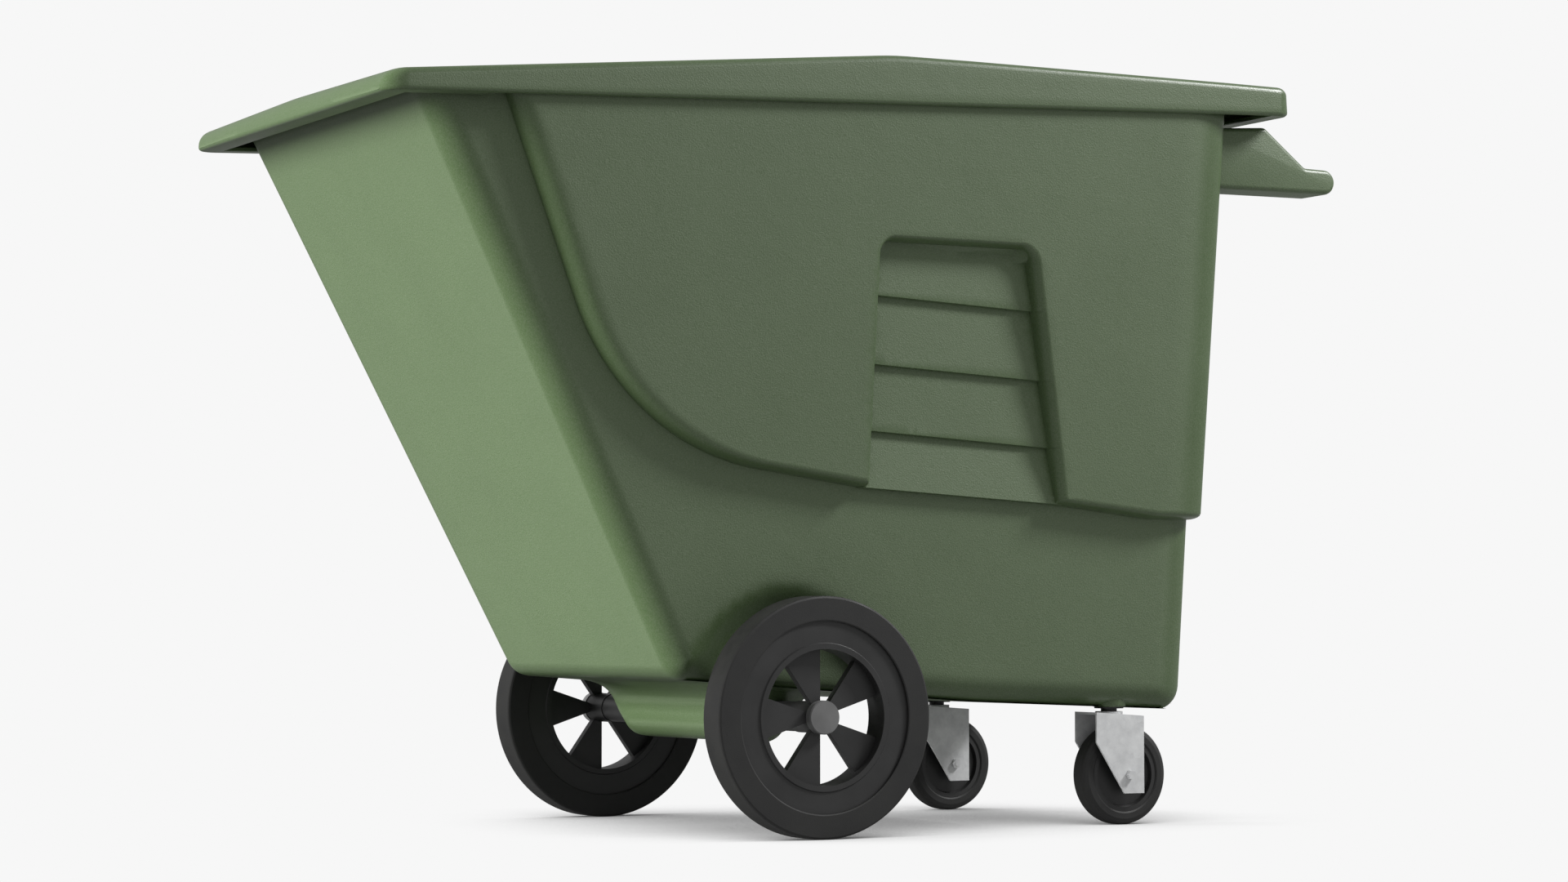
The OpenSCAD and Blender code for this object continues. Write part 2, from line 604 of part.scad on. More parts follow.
module lid() color(c_tub) at_axle() difference() {
    union() {
        difference() {
            difference() {
                intersection() { lid_form(0); plan_block(0, 0); }
                under_rim(0);
            }
            // hollow between the ring and the top skin
            difference() {
                intersection() { lid_form(lid_wall); plan_block(lid_wall, lid_wall); }
                under_rim(lid_wall);
            }
            // opening inside the ring: wider beside the tub's raised side panels
            intersection() { plan_block(lid_ring_w, ring_front_w); under_rim(lid_wall + 1); }
            intersection() {
                plan_block(lid_ring_w, ring_side_w);
                under_rim(lid_wall + 1);
                translate([ring_step_x, -400, 800]) cube([1300, 800, 300]);
            }
        }
        // rib that lands on the tub's rim
        difference() {
            intersection() {
                difference() {
                    translate([front_x(913) + 1.5, -side_y(930) + 1, 850])
                        cube([rear2_x(968) - front_x(913) - 3.5, 2 * side_y(930) - 2, 150]);
                    translate([front_x(913) + 6.5, -side_y(930) + 6, 840])
                        cube([rear2_x(968) - front_x(913) - 13.5, 2 * side_y(930) - 12, 180]);
                }
                lid_form(1);
            }
            under_rim(rim_up + 0.4);
        }
        // hinge lugs
        for (s = [-1, 1]) translate([0, s * hinge_y, 0]) {
            translate([hinge_x, 0, hinge_z]) ycyl(8.6, -lug_w / 2, lug_w / 2, 48);
            side_plate([[lid_rear_x - 6, hinge_z - 4.6], [hinge_x, hinge_z - 8.6], [hinge_x, hinge_z + 8.6],
                [lid_rear_x - 8.4, hinge_z + 14]], -lug_w / 2, lug_w / 2);
        }
    }
    for (s = [-1, 1]) translate([hinge_x, s * hinge_y, hinge_z]) ycyl(pin_r + run, -60, 60, 48);
}

tub();
axle();
spacer(left);  // spacer_left
spacer(right);  // spacer_right
big_tire(left);  // big_tire_left
big_rim(left);  // big_rim_left
big_bush(left);  // big_bush_left
big_retainer(left);  // big_retainer_left
big_cap(left);  // big_cap_left
big_tire(right);  // big_tire_right
big_rim(right);  // big_rim_right
big_bush(right);  // big_bush_right
big_retainer(right);  // big_retainer_right
big_cap(right);  // big_cap_right
swivel_cup(left);  // swivel_cup_left
kingpin(left);  // kingpin_left
floor_washer(left);  // floor_washer_left
kingpin_nut(left);  // kingpin_nut_left
fork(left);  // fork_left
caster_tire(left);  // caster_tire_left
caster_core(left);  // caster_core_left
caster_sleeve(left);  // caster_sleeve_left
caster_bolt(left);  // caster_bolt_left
caster_nut(left);  // caster_nut_left
swivel_cup(right);  // swivel_cup_right
kingpin(right);  // kingpin_right
floor_washer(right);  // floor_washer_right
kingpin_nut(right);  // kingpin_nut_right
fork(right);  // fork_right
caster_tire(right);  // caster_tire_right
caster_core(right);  // caster_core_right
caster_sleeve(right);  // caster_sleeve_right
caster_bolt(right);  // caster_bolt_right
caster_nut(right);  // caster_nut_right
hinge_bracket(left);  // hinge_bracket_left
hinge_bracket(right);  // hinge_bracket_right
bracket_screws();
bracket_washers();
bracket_nuts();
hinge_pins();
hinge_clips();
lid();
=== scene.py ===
"""Tilt truck: looks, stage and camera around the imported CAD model.

Profiles are in millimetres, counted along X from the big-wheel axle, across Y from the middle and up Z
from the floor; placed() turns them into metres in the CAD frame.
"""

import json
import math

import bmesh
import bpy
import numpy as np
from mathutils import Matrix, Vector, geometry, kdtree

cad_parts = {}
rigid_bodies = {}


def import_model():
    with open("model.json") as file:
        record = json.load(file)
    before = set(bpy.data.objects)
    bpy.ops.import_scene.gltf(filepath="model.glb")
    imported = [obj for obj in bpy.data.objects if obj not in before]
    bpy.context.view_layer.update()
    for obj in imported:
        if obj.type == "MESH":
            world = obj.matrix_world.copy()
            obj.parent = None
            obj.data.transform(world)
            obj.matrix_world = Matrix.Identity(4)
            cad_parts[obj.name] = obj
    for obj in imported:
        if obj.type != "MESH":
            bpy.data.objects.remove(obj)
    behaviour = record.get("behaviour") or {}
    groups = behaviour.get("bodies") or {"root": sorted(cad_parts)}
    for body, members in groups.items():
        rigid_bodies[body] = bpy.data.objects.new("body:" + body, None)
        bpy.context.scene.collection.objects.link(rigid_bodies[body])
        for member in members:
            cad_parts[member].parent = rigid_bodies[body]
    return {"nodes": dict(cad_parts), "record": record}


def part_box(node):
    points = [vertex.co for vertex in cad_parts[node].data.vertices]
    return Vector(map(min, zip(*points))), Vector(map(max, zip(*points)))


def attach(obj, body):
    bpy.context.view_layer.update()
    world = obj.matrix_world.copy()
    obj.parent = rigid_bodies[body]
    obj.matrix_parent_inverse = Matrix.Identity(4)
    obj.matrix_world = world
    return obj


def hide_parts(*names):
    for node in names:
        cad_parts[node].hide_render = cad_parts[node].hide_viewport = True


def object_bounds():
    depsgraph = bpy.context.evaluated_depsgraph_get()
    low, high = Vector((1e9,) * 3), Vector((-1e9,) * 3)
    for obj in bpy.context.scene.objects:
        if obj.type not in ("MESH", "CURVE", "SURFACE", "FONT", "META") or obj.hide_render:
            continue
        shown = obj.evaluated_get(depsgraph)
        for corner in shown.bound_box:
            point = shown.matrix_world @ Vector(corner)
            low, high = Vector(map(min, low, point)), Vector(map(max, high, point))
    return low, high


for leftover in list(bpy.data.objects):
    bpy.data.objects.remove(leftover)
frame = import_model()
cad_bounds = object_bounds()

MM = 0.001


def middle(node):
    low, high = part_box(node)
    return (low + high) / 2


AXLE = middle("axle")
axle_z = AXLE.z / MM
tub_low, tub_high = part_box("tub")
lid_low, lid_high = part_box("lid")


def placed(points):
    """Profile points in mm, counted from the axle, as metres in the CAD frame."""
    return np.asarray(points, float) * MM + np.array([AXLE.x, 0, 0])


def columns(*parts):
    """One array with the parts along its last axis."""
    return np.stack(parts, -1)


def ease(t):
    t = np.clip(t, 0, 1)
    return t * t * (3 - 2 * t)


# ---------------------------------------------------------------- tub form
# a wall is a plane: its place at floor height, and how far it leans out per mm of height
side_half_w0, side_lean = 241.4, 0.0578
front_x0, front_lean = -66.6, 0.517
rear_x0, rear_lean = 600.0, 0.0286
panel_step = 24.0  # how far the raised side panel stands out
rear_step0, rear_step_lean = 2.8, 0.0094  # and the rear panel, in the same way
corner_front, corner_rear = 34.0, 20.0  # radii of the upright corners
# length along X of the rear corner's turn, below the raised panels and on them
rear_long, rear_long_raised = 52.0, 74.0
bottom_front_r, bottom_side_r, bottom_rear_r = 34.0, 36.0, 30.0
wall = 7.0
# the underside falls towards the front in two slopes that meet at the knee
floor_rear_z, floor_rear_slope, floor_knee_x, floor_front_slope = 153.9, 0.0405, 284.0, 0.074
# the lid's foot, the tub's rim above it, the land inside the rim, and its edges' rounding
rim_z0, rim_slope, rim_up, land_h, rim_round = 927.3, 0.0464, 12.0, 9.0, 2.0

side_n = math.hypot(1, side_lean)
front_n = math.hypot(1, front_lean)
rear_n = math.hypot(1, rear_lean)
floor_n = math.hypot(1, floor_front_slope)
SIDE = np.array([0, 1, -side_lean]) / side_n
FRONT = np.array([-1, 0, -front_lean]) / front_n
REAR = np.array([1, 0, -rear_lean]) / rear_n


def floor_z(x):
    knee = floor_rear_z + floor_rear_slope * (rear_x0 - floor_knee_x)
    return np.where(
        x > floor_knee_x,
        floor_rear_z + floor_rear_slope * (rear_x0 - x),
        knee + floor_front_slope * (floor_knee_x - x),
    )


def rim_z(x):
    return rim_z0 + rim_slope * x


def rim_top(x):
    return rim_z(x) + rim_up


def bottom_r(x):
    """Radius of the edge between side wall and underside."""
    t = np.clip((x - front_x0) / (floor_knee_x - front_x0), 0, 1)
    return bottom_front_r + (bottom_side_r - bottom_front_r) * t


def on_floor(x, y, inset):
    """Points of the underside, moved up by inset."""
    return columns(x, y + 0 * x, floor_z(x) + inset * floor_n)


def floor_line(x, r):
    """Height of the centre of a ball of radius r that rests on the underside from above."""
    return floor_z(x) + r * floor_n


def skeleton_front(z):
    return front_x0 - front_lean * z + corner_front * front_n


def skeleton_rear(z, r):
    return rear_x0 + rear_lean * z - r * rear_n


def skeleton_side(z, r):
    return side_half_w0 + side_lean * z - r * side_n


# ---- raised side panel: its outline is a front edge, a knee of radius knee_r and a lower edge
knee_x, knee_z, knee_r = -256.0, 491.0, 330.0
panel_front_lean, panel_low_slope = 0.414, 0.138
pocket_x, pocket_foot_z, pocket_top_z = 87.0, 443.7, 759.5
pocket_foot_x1, pocket_foot_z1, pocket_roof_x0, pocket_roof_x1 = 379.0, 427.3, 95.0, 322.0
panel_level_x, panel_rear_z = 530.0, 410.5  # the lower edge is level from here round the rear corner
edge_w_front, edge_w_low = 22.0, 8.0  # width of the rounding along the panel's front and lower edge
panel_far = 400.0  # the lower edge's line is carried this far in front of the knee
crest_power = 2.1  # 2 would make the rounding a quarter circle
# the inner face steps this far inside the outline, over this width, and fades out under the land
inner_start, inner_soft, inner_fade = 6.0, 24.0, 6.0

edge_front_n = math.hypot(1, panel_front_lean)
edge_low_n = math.hypot(1, panel_low_slope)
N1 = np.array([1, panel_front_lean]) / edge_front_n  # into the panel from its front edge
N2 = np.array([panel_low_slope, 1]) / edge_low_n  # into the panel from its lower edge
BASIS = np.linalg.inv(np.array([N1, N2]).T)
CENTRE = np.array([knee_x, knee_z]) + np.linalg.solve(np.array([N1, N2]), [knee_r, knee_r])
knee_angle = math.acos(float(N1 @ N2))


def panel_low(x):
    """Height of the panel's lower edge."""
    return np.interp(
        x,
        [knee_x - panel_far, pocket_x, pocket_foot_x1, panel_level_x],
        [knee_z + panel_far * panel_low_slope, pocket_foot_z, pocket_foot_z1, panel_rear_z],
    )


def panel_depth(x, z):
    """Distance into the panel from its outline, and the width of the rounding there."""
    p = columns(x, z) - CENTRE
    ab = -p @ BASIS.T
    d1 = (x - (knee_x - panel_front_lean * (z - knee_z))) / edge_front_n
    d2 = (z - panel_low(x)) / edge_low_n
    in_knee = (ab[..., 0] > 0) & (ab[..., 1] > 0)
    turn = np.arctan2(ab[..., 1] * math.sin(knee_angle), ab[..., 0] + ab[..., 1] * math.cos(knee_angle))
    t = np.where(in_knee, np.clip(turn / knee_angle, 0, 1), (d2 < d1).astype(float))
    d = np.where(in_knee, knee_r - np.hypot(p[..., 0], p[..., 1]), np.minimum(d1, d2))
    width = edge_w_front + (edge_w_low - edge_w_front) * t
    return d, width


def rounded(q):
    """Quarter round: steep at the foot, level at the crest."""
    q = np.clip(q, 0, 1)
    return (1 - (1 - q) ** crest_power) ** (1 / crest_power)


# ---- louvred pocket
pocket_r = 18.0  # of its two upper corners
wall_w_left, wall_w_top, wall_w_right = 5.0, 8.0, 14.0  # widths of the pocket's sloping walls
# how far each slat stands out at its lower edge, and at its top; height of the step
slat_outs, slat_in, slat_lip = [7.0, 7.0, 7.0, 11.0], 0.5, 1.2
slat_edge_z = [691.0, 602.7, 517.3]  # height of the lower edges at the pocket's left
slat_edge_fall = [0.046, 0.052, 0.058]  # and how much they fall per mm towards the rear
on_line = 0.05  # points this close to an edge belong to what lies above it
pocket_reach = (20.0, 30.0)  # the pocket's walls end within this distance of its foot
inner_pocket_w, inner_pocket_start, inner_pocket_soft = 12.0, 4.0, 30.0  # on the inner face


def pocket_left(z):
    return pocket_x + (pocket_roof_x0 - pocket_x) * (z - pocket_foot_z) / (pocket_top_z - pocket_foot_z)


def pocket_right(z):
    t = (z - pocket_foot_z1) / (pocket_top_z - pocket_foot_z1)
    return pocket_foot_x1 + (pocket_roof_x1 - pocket_foot_x1) * t


def pocket_out(x, z):
    """0 inside the pocket's foot outline, rising to 1 at the crest of its walls."""
    up = z - (pocket_top_z - pocket_r)
    q = None
    left = (pocket_left(z) + pocket_r - x, wall_w_left)
    right = (x - pocket_right(z) + pocket_r, wall_w_right)
    for across, w in (left, right):
        both = (across > 0) & (up > 0)
        turn = np.arctan2(np.maximum(up, 0), np.maximum(across, 1e-9)) / (math.pi / 2)
        corner = (np.hypot(across, up) - pocket_r) / (w + (wall_w_top - w) * turn)
        flat = np.maximum((across - pocket_r) / w, (up - pocket_r) / wall_w_top)
        one = np.where(both, corner, flat)
        q = one if q is None else np.maximum(q, one)
    return q


def slat_edge(i, x):
    """Lower edge of slat i at x; the last is the panel's own lower edge."""
    if i == len(slat_edge_z):
        return panel_low(x)
    return slat_edge_z[i] - slat_edge_fall[i] * (x - pocket_x)


def slat_depth(x, z):
    """How far the slats stand out from the pocket's floor."""
    depth = np.zeros_like(x)
    top = np.full_like(x, pocket_top_z + wall_w_top)
    for i, out in enumerate(slat_outs):
        low = slat_edge(i, x)
        inside = (z >= low - on_line) & (z < top - on_line)
        t = np.clip((z - low) / (top - low), 0, 1)
        depth = np.where(inside, out + (slat_in - out) * t, depth)
        top = low
    return depth


def panel_out(x, z):
    """How far the outer side wall stands out from its plane."""
    d, width = panel_depth(x, z)
    q = pocket_out(x, z)
    raised = panel_step * rounded(d / width)
    in_pocket = (q < 1) & (x > pocket_x - pocket_reach[0]) & (x < pocket_foot_x1 + pocket_reach[1])
    floor = np.where(in_pocket & (z > panel_low(x) - on_line), slat_depth(x, z), 0)
    return np.where(in_pocket, floor + np.maximum(raised - floor, 0) * rounded(q), raised)


def panel_in(x, z):
    """The same for the inner face, which follows softly and closes at the land under the rim."""
    d, _ = panel_depth(x, z)
    pocket = ease((pocket_out(x, z) * inner_pocket_w + inner_pocket_start) / inner_pocket_soft)
    under_land = ease((rim_top(x) - land_h - z) / inner_fade)
    return panel_step * ease((d - inner_start) / inner_soft) * pocket * under_land


# ---- wheel arch: depth, width of its edge, radius in front, and how much less behind
arch_in, arch_band = 20.0, 52.0
arch_front_r, arch_rear_less = 176.0, 34.0
arch_turn_x0, arch_turn_w = -40.0, 200.0  # the radius changes along this stretch


def arch(x, z):
    """Shallow wheel arch: the wall draws in around the axle, less so behind it."""
    radius = arch_front_r - arch_rear_less * np.clip((x - arch_turn_x0) / arch_turn_w, 0, 1)
    rho = np.hypot(x, z - axle_z)
    return -arch_in * ease((radius - rho) / arch_band)


# ---- axle hump across the underside: radius, front and rear foot, and where its ends run out
hump_r, hump_x0, hump_x1, hump_end_y, hump_end_w = 36.0, -88.0, 80.0, 162.0, 68.0
hump_flank, hump_front_fall, hump_rear_fall = 4.0, 6.0, 4.0  # bend points of the flanks
hump_margin = 4.0  # the fine rows of the underside reach this far past the hump


def hump_profile(share):
    """Section of the hump, from its front to its rear, at shares of its length."""
    front_top = np.array([hump_x0, float(floor_z(hump_x0))])
    rear_top = np.array([hump_x1, float(floor_z(hump_x1))])
    t = np.linspace(0, 1, 30)[:, None]

    def bend(a, b, c):
        return (1 - t) ** 2 * a + 2 * t * (1 - t) * b + t * t * c

    a = np.linspace(math.pi, 2 * math.pi, 60)[:, None]
    low = np.hstack([hump_r * np.cos(a), axle_z + hump_r * np.sin(a)])
    line = np.vstack(
        [
            bend(front_top, np.array([-hump_r - hump_flank, front_top[1] - hump_front_fall]), low[0]),
            low,
            bend(low[-1], np.array([hump_r + hump_flank, rear_top[1] - hump_rear_fall]), rear_top),
        ]
    )
    run = np.concatenate([[0], np.cumsum(np.linalg.norm(np.diff(line, axis=0), axis=1))])
    return np.stack([np.interp(share * run[-1], run, line[:, k]) for k in (0, 1)], -1)


def humped(p):
    """Underside points drawn down over the axle hump."""
    share = (p[..., 0] - hump_x0) / (hump_x1 - hump_x0)
    weight = 1 - ease((np.abs(p[..., 1]) - hump_end_y) / hump_end_w)
    weight = np.where((share > 0) & (share < 1), weight, 0)[..., None]
    section = hump_profile(np.clip(share, 0, 1))
    out = p.copy()
    out[..., [0, 2]] = p[..., [0, 2]] * (1 - weight) + section * weight
    return out


middle_z, first_rim_z = 200.0, 930.0  # first guesses, improved in rounds
rear_pull_x = 430.0  # from here back the side wall takes up the rear wall's step
nearly_rear = 0.9999  # a share of 1 marks the rear wall itself


class Skin:
    """One skin of the tub's +Y half, moved inwards by inset: walls, corners and floor."""

    across = np.concatenate([np.linspace(0, 0.78, 12), np.linspace(0.80, 1, 13)])
    arc = np.linspace(0, 1, 11)
    bend = np.linspace(0, 1, 9)

    def __init__(self, inset, outer):
        self.inset, self.outer = inset, outer

    def raised(self, x, z):
        """Share of the raised panel's step that is reached at x, z."""
        x, z = np.broadcast_arrays(np.minimum(x, panel_level_x), z)
        d, width = panel_depth(x, z)
        if self.outer:
            return rounded(d / width)
        return ease((d - inner_start) / inner_soft) * ease((rim_top(x) - land_h - z) / inner_fade)

    def moved(self, p, normal, y_share, rear_share):
        """Adds the panel, the pocket and the wheel arch to points on the plain walls."""
        z = p[..., 2]
        raised = self.raised(p[..., 0], z)
        out = (panel_out if self.outer else panel_in)(np.minimum(p[..., 0], panel_level_x), z)
        drawn_in = arch(p[..., 0], z) * np.clip(normal[..., 1], 0, 1) ** 2
        q = p.copy()
        q[..., 0] += rear_share * (rear_step0 + rear_step_lean * z) * raised
        q[..., 1] += y_share * (np.where(rear_share >= 1, panel_step * raised, out) + drawn_in)
        return q

    def at(self, c, normal, r):
        """Points of the skin towards normal, on balls of radius r round c."""
        return c + (r - self.inset)[..., None] * normal

    def rear_plane(self, z):
        """X of the rear wall at height z."""
        return rear_x0 + rear_lean * z - self.inset * rear_n

    def drawn_out(self, x, x_end, z):
        """Stretches the rear corner's round turn forwards from the rear wall at x_end."""
        length = rear_long + (rear_long_raised - rear_long) * self.raised(panel_level_x, z)
        return x_end - (x_end - x) * (length - self.inset) / (corner_rear - self.inset)

    def column_lines(self, z):
        """Side wall limits in X at height z of the wall, between the two corner arcs."""
        zf = z + (corner_front - self.inset) * side_lean / side_n
        zr = z + (corner_rear - self.inset) * side_lean / side_n
        return skeleton_front(zf), self.drawn_out(skeleton_rear(zr, corner_rear), self.rear_plane(z), z)

    def rim_ends(self):
        """X of the side wall's front and rear limit at the rim."""
        ends = [-500.0, 560.0]
        for _ in range(8):
            ends = [float(self.column_lines(rim_top(x) - rim_round)[k]) for k, x in enumerate(ends)]
        return ends

    def end_stations(self, rear):
        """Normals and y shares of the end wall and its corner, from the middle outwards."""
        end = REAR if rear else FRONT
        turn = self.arc[:, None]
        total = math.acos(float(end @ SIDE))
        corner = (np.sin((1 - turn) * total) * end + np.sin(turn * total) * SIDE) / math.sin(total)
        normals = np.vstack([np.tile(end, (len(self.across) - 1, 1)), corner])
        return normals, np.concatenate([self.across[:-1], np.ones(len(self.arc))])

    def end_row(self, rear, z):
        """The end wall's stations at height z of the skin."""
        normals, shares = self.end_stations(rear)
        r = np.full(len(shares), corner_rear if rear else corner_front)
        zc = z - (r - self.inset) * normals[:, 2]
        x = skeleton_rear(zc, r) if rear else skeleton_front(zc)
        p = self.at(columns(x, shares * skeleton_side(zc, r), zc), normals, r)
        if rear:
            p[:, 0] = self.drawn_out(p[:, 0], self.rear_plane(p[:, 2]), p[:, 2])
        return self.moved(p, normals, shares, np.full(len(shares), float(rear)))

    def side_points(self, x, z):
        """Side wall points at x and height z."""
        p = columns(x, side_half_w0 + side_lean * z - self.inset * side_n, z)
        near_end = ease((x - rear_pull_x) / (self.column_lines(z)[1] - rear_pull_x))
        return self.moved(p, np.broadcast_to(SIDE, p.shape), 1.0, np.minimum(near_end, nearly_rear))

    def bottom_ring(self, side_x):
        """Centres, normals and radii of the ball that rolls along the bottom edge."""
        rows = []
        for rear in (False, True):
            normals, shares = self.end_stations(rear)
            turn = np.concatenate([np.zeros(len(self.across) - 1), self.arc])
            upright = np.full(len(shares), corner_rear if rear else corner_front)
            r0, r1 = (bottom_rear_r, bottom_side_r) if rear else (bottom_front_r, bottom_front_r)
            r = r0 + (r1 - r0) * turn
            z = np.full(len(shares), middle_z)
            for _ in range(30):
                x = skeleton_rear(z, upright) if rear else skeleton_front(z)
                c = columns(x, shares * skeleton_side(z, upright), z)
                c += (upright - r)[:, None] * normals
                z = floor_line(c[:, 0], r) - (upright - r) * normals[:, 2]
            rows.append((c, normals, r, shares))
        r = bottom_r(side_x)
        z = floor_line(side_x, r)
        side = (
            columns(side_x, skeleton_side(z, r), z),
            np.tile(SIDE, (len(r), 1)),
            r,
            np.ones(len(r)),
        )
        front, rear = rows
        return [np.concatenate([front[k], side[k], rear[k][::-1]]) for k in range(4)]

    def ring_row(self, ring, normal):
        """Points of the ring's balls towards normal, with the rear corner's turn drawn out."""
        c, _, r, shares = ring
        p = self.at(c, normal, r)
        rear = p[-len(self.end_stations(True)[1]) :]
        x = self.drawn_out(rear[:, 0], rear[-1, 0], rear[:, 2])
        up = floor_z(x) - floor_z(rear[:, 0])
        rear[:] = columns(x, rear[:, 1] + side_lean * up * shares[-len(rear) :], rear[:, 2] + up)
        return p


line_gap = 12.0  # distance between points along the feature lines
knee_points, corner_points, wall_points, slat_points = 56, 10, 34, 24


def offset_outline(q, skin):
    """Line along the panel's outline at q widths into it, from the rim to the rear corner."""
    d = q * edge_w_front if q >= 0 else q
    z_tangent = (CENTRE - (knee_r - d) * N1)[1]
    top = first_rim_z
    for _ in range(6):
        x_top = knee_x - panel_front_lean * (top - knee_z) + d * edge_front_n
        top = rim_top(x_top) - rim_round
    z = np.linspace(top, z_tangent, int((top - z_tangent) / line_gap) + 1)
    line = [columns(knee_x - panel_front_lean * (z - knee_z) + d * edge_front_n, z)]
    start = math.atan2(-N1[1], -N1[0])
    t = np.linspace(0, 1, knee_points)[1:]
    d = q * (edge_w_front + (edge_w_low - edge_w_front) * t) if q >= 0 else np.full(len(t), q)
    a = start + knee_angle * t
    line.append(CENTRE + (knee_r - d)[:, None] * columns(np.cos(a), np.sin(a)))
    d = q * edge_w_low if q >= 0 else q
    x_end = float(skin.column_lines(panel_rear_z + d * edge_low_n)[1])
    x0 = line[-1][-1, 0]
    knots = [pocket_x, pocket_foot_x1, panel_level_x]
    x = np.unique(np.concatenate([np.linspace(x0, x_end, int((x_end - x0) / line_gap)), knots]))[1:]
    line.append(columns(x, panel_low(x) + d * edge_low_n))
    return np.vstack(line)


# lines along the panel's outline, in widths into it, and up the pocket's walls
OUTLINE_STEPS = [-1.0, 0.0, 0.04, 0.15, 0.33, 0.6, 1.0, 1.4]
WALL_STEPS = [0.0, 0.05, 0.2, 0.45, 0.75, 1.0]
past_foot_left, past_foot_right = 3.0, 4.0  # below the panel's lower edge
slat_past_left = 3.5  # the slats' lines start this far outside the pocket's foot


def pocket_line(q):
    """Line along the pocket's walls at q widths out, from its left foot to its right foot."""
    corner_z = pocket_top_z - pocket_r
    z = np.linspace(pocket_foot_z - past_foot_left, corner_z, wall_points)
    line = [columns(pocket_left(z) - q * wall_w_left, z)]
    for side, w in ((-1, wall_w_left), (1, wall_w_right)):
        cx = (pocket_left(corner_z) + pocket_r) if side < 0 else (pocket_right(corner_z) - pocket_r)
        t = np.linspace(0, 1, corner_points)
        if side > 0:
            t = t[::-1]
        r = pocket_r + q * (w + (wall_w_top - w) * t)
        a = t * math.pi / 2
        line.append(columns(cx + side * r * np.cos(a), corner_z + r * np.sin(a)))
    z = np.linspace(corner_z, pocket_foot_z1 - past_foot_right, wall_points)
    line.append(columns(pocket_right(z) + q * wall_w_right, z))
    return np.vstack(line)


gap_outer, gap_inner = 13.0, 11.0  # between the side wall's free points
row_pitch = 0.866  # in gaps: near equilateral triangles
clear_end, clear_rim = 3.0, 5.0  # free points keep this far from the ends and the rim
clear_under, clear_line = 0.35, 0.45  # and these gaps from the bottom edge and any line


def side_patch(skin, boundary, lines, gap):
    """Side wall between its boundary points, meshed so that edges follow every feature line."""
    points = [tuple(p) for p in boundary]
    edges = [(i, (i + 1) % len(boundary)) for i in range(len(boundary))]
    for line in lines:
        first = len(points)
        points += [tuple(p) for p in line]
        edges += [(i, i + 1) for i in range(first, len(points) - 1)]
    tree = kdtree.KDTree(len(points))
    for i, p in enumerate(points):
        tree.insert((p[0], 0, p[1]), i)
    tree.balance()
    low, high = np.min(boundary, 0), np.max(boundary, 0)
    rows = np.arange(low[1], high[1], gap * row_pitch)
    for k, z in enumerate(rows):
        for x in np.arange(low[0] + (k % 2) * gap / 2, high[0], gap):
            x0, x1 = skin.column_lines(z)
            under = float(floor_z(x)) + bottom_r(x) + gap * clear_under
            if x0 + clear_end < x < x1 - clear_end and under < z < rim_top(x) - clear_rim:
                if tree.find((x, 0, z))[2] > gap * clear_line:
                    points.append((x, z))
    out, _, faces, *_ = geometry.delaunay_2d_cdt([Vector(p) for p in points], edges, [], 1, 1e-4)
    flat = np.array([[p.x, p.y] for p in out])
    return skin.side_points(flat[:, 0], flat[:, 1]), [f for f in faces if len(f) == 3]


WELD, SLIVER = 0.04 * MM, 0.01 * MM  # points this close become one, edges this short go


class Mesh:
    """Collects grids and triangles in mm and makes one welded object of them."""

    def __init__(self):
        self.points, self.faces, self.count = [], [], 0

    def add(self, points, faces):
        self.points.append(np.asarray(points, float).reshape(-1, 3))
        self.faces += [tuple(int(i) + self.count for i in f) for f in faces]
        self.count += len(self.points[-1])

    def grid(self, rows):
        """Quads between rows of equally many points."""
        rows = np.asarray(rows, float)
        n, m = rows.shape[:2]
        faces = [
            (i * m + j, i * m + j + 1, (i + 1) * m + j + 1, (i + 1) * m + j)
            for i in range(n - 1)
            for j in range(m - 1)
        ]
        self.add(rows.reshape(-1, 3), faces)

    def object(self, name, mirrored=True, sharp=40):
        points = np.vstack(self.points)
        faces = list(self.faces)
        if mirrored:
            other = points * [1, -1, 1]
            faces += [tuple(i + len(points) for i in reversed(f)) for f in self.faces]
            points = np.vstack([points, other])
        mesh = bpy.data.meshes.new(name)
        mesh.from_pydata([tuple(p) for p in placed(points)], [], faces)
        bm = bmesh.new()
        bm.from_mesh(mesh)
        bmesh.ops.remove_doubles(bm, verts=bm.verts, dist=WELD)
        bmesh.ops.dissolve_degenerate(bm, edges=bm.edges, dist=SLIVER)
        bmesh.ops.recalc_face_normals(bm, faces=bm.faces)
        bm.to_mesh(mesh)
        bm.free()
        smooth(mesh, sharp)
        return linked(name, mesh)


def smooth(mesh, sharp):
    mesh.polygons.foreach_set("use_smooth", [True] * len(mesh.polygons))
    mesh.set_sharp_from_angle(angle=math.radians(sharp))


def linked(name, mesh):
    obj = bpy.data.objects.new(name, mesh)
    bpy.context.scene.collection.objects.link(obj)
    return obj


FLAT_WITHIN, ROUND_BEYOND = 3.0, 11.0  # degrees between a vertex's normal and the nearest flat face's


def mark_flats(obj, planes):
    """Writes flat_share on the vertices: 1 on flat faces, 0 on rounded edges; the shell's material paints a
    grey sheen on the flats from it.
    """
    mesh = obj.data
    normals = np.zeros(len(mesh.vertices) * 3, np.float32)
    mesh.vertex_normals.foreach_get("vector", normals)
    planes = np.array(planes, float)
    planes /= np.linalg.norm(planes, axis=1)[:, None]
    best = np.clip((normals.reshape(-1, 3) @ planes.T).max(1), -1, 1)
    angle = np.degrees(np.arccos(best))
    share = 1 - ease((angle - FLAT_WITHIN) / (ROUND_BEYOND - FLAT_WITHIN))
    attribute = mesh.attributes.new("flat_share", "FLOAT", "POINT")
    attribute.data.foreach_set("value", share.astype(np.float32))


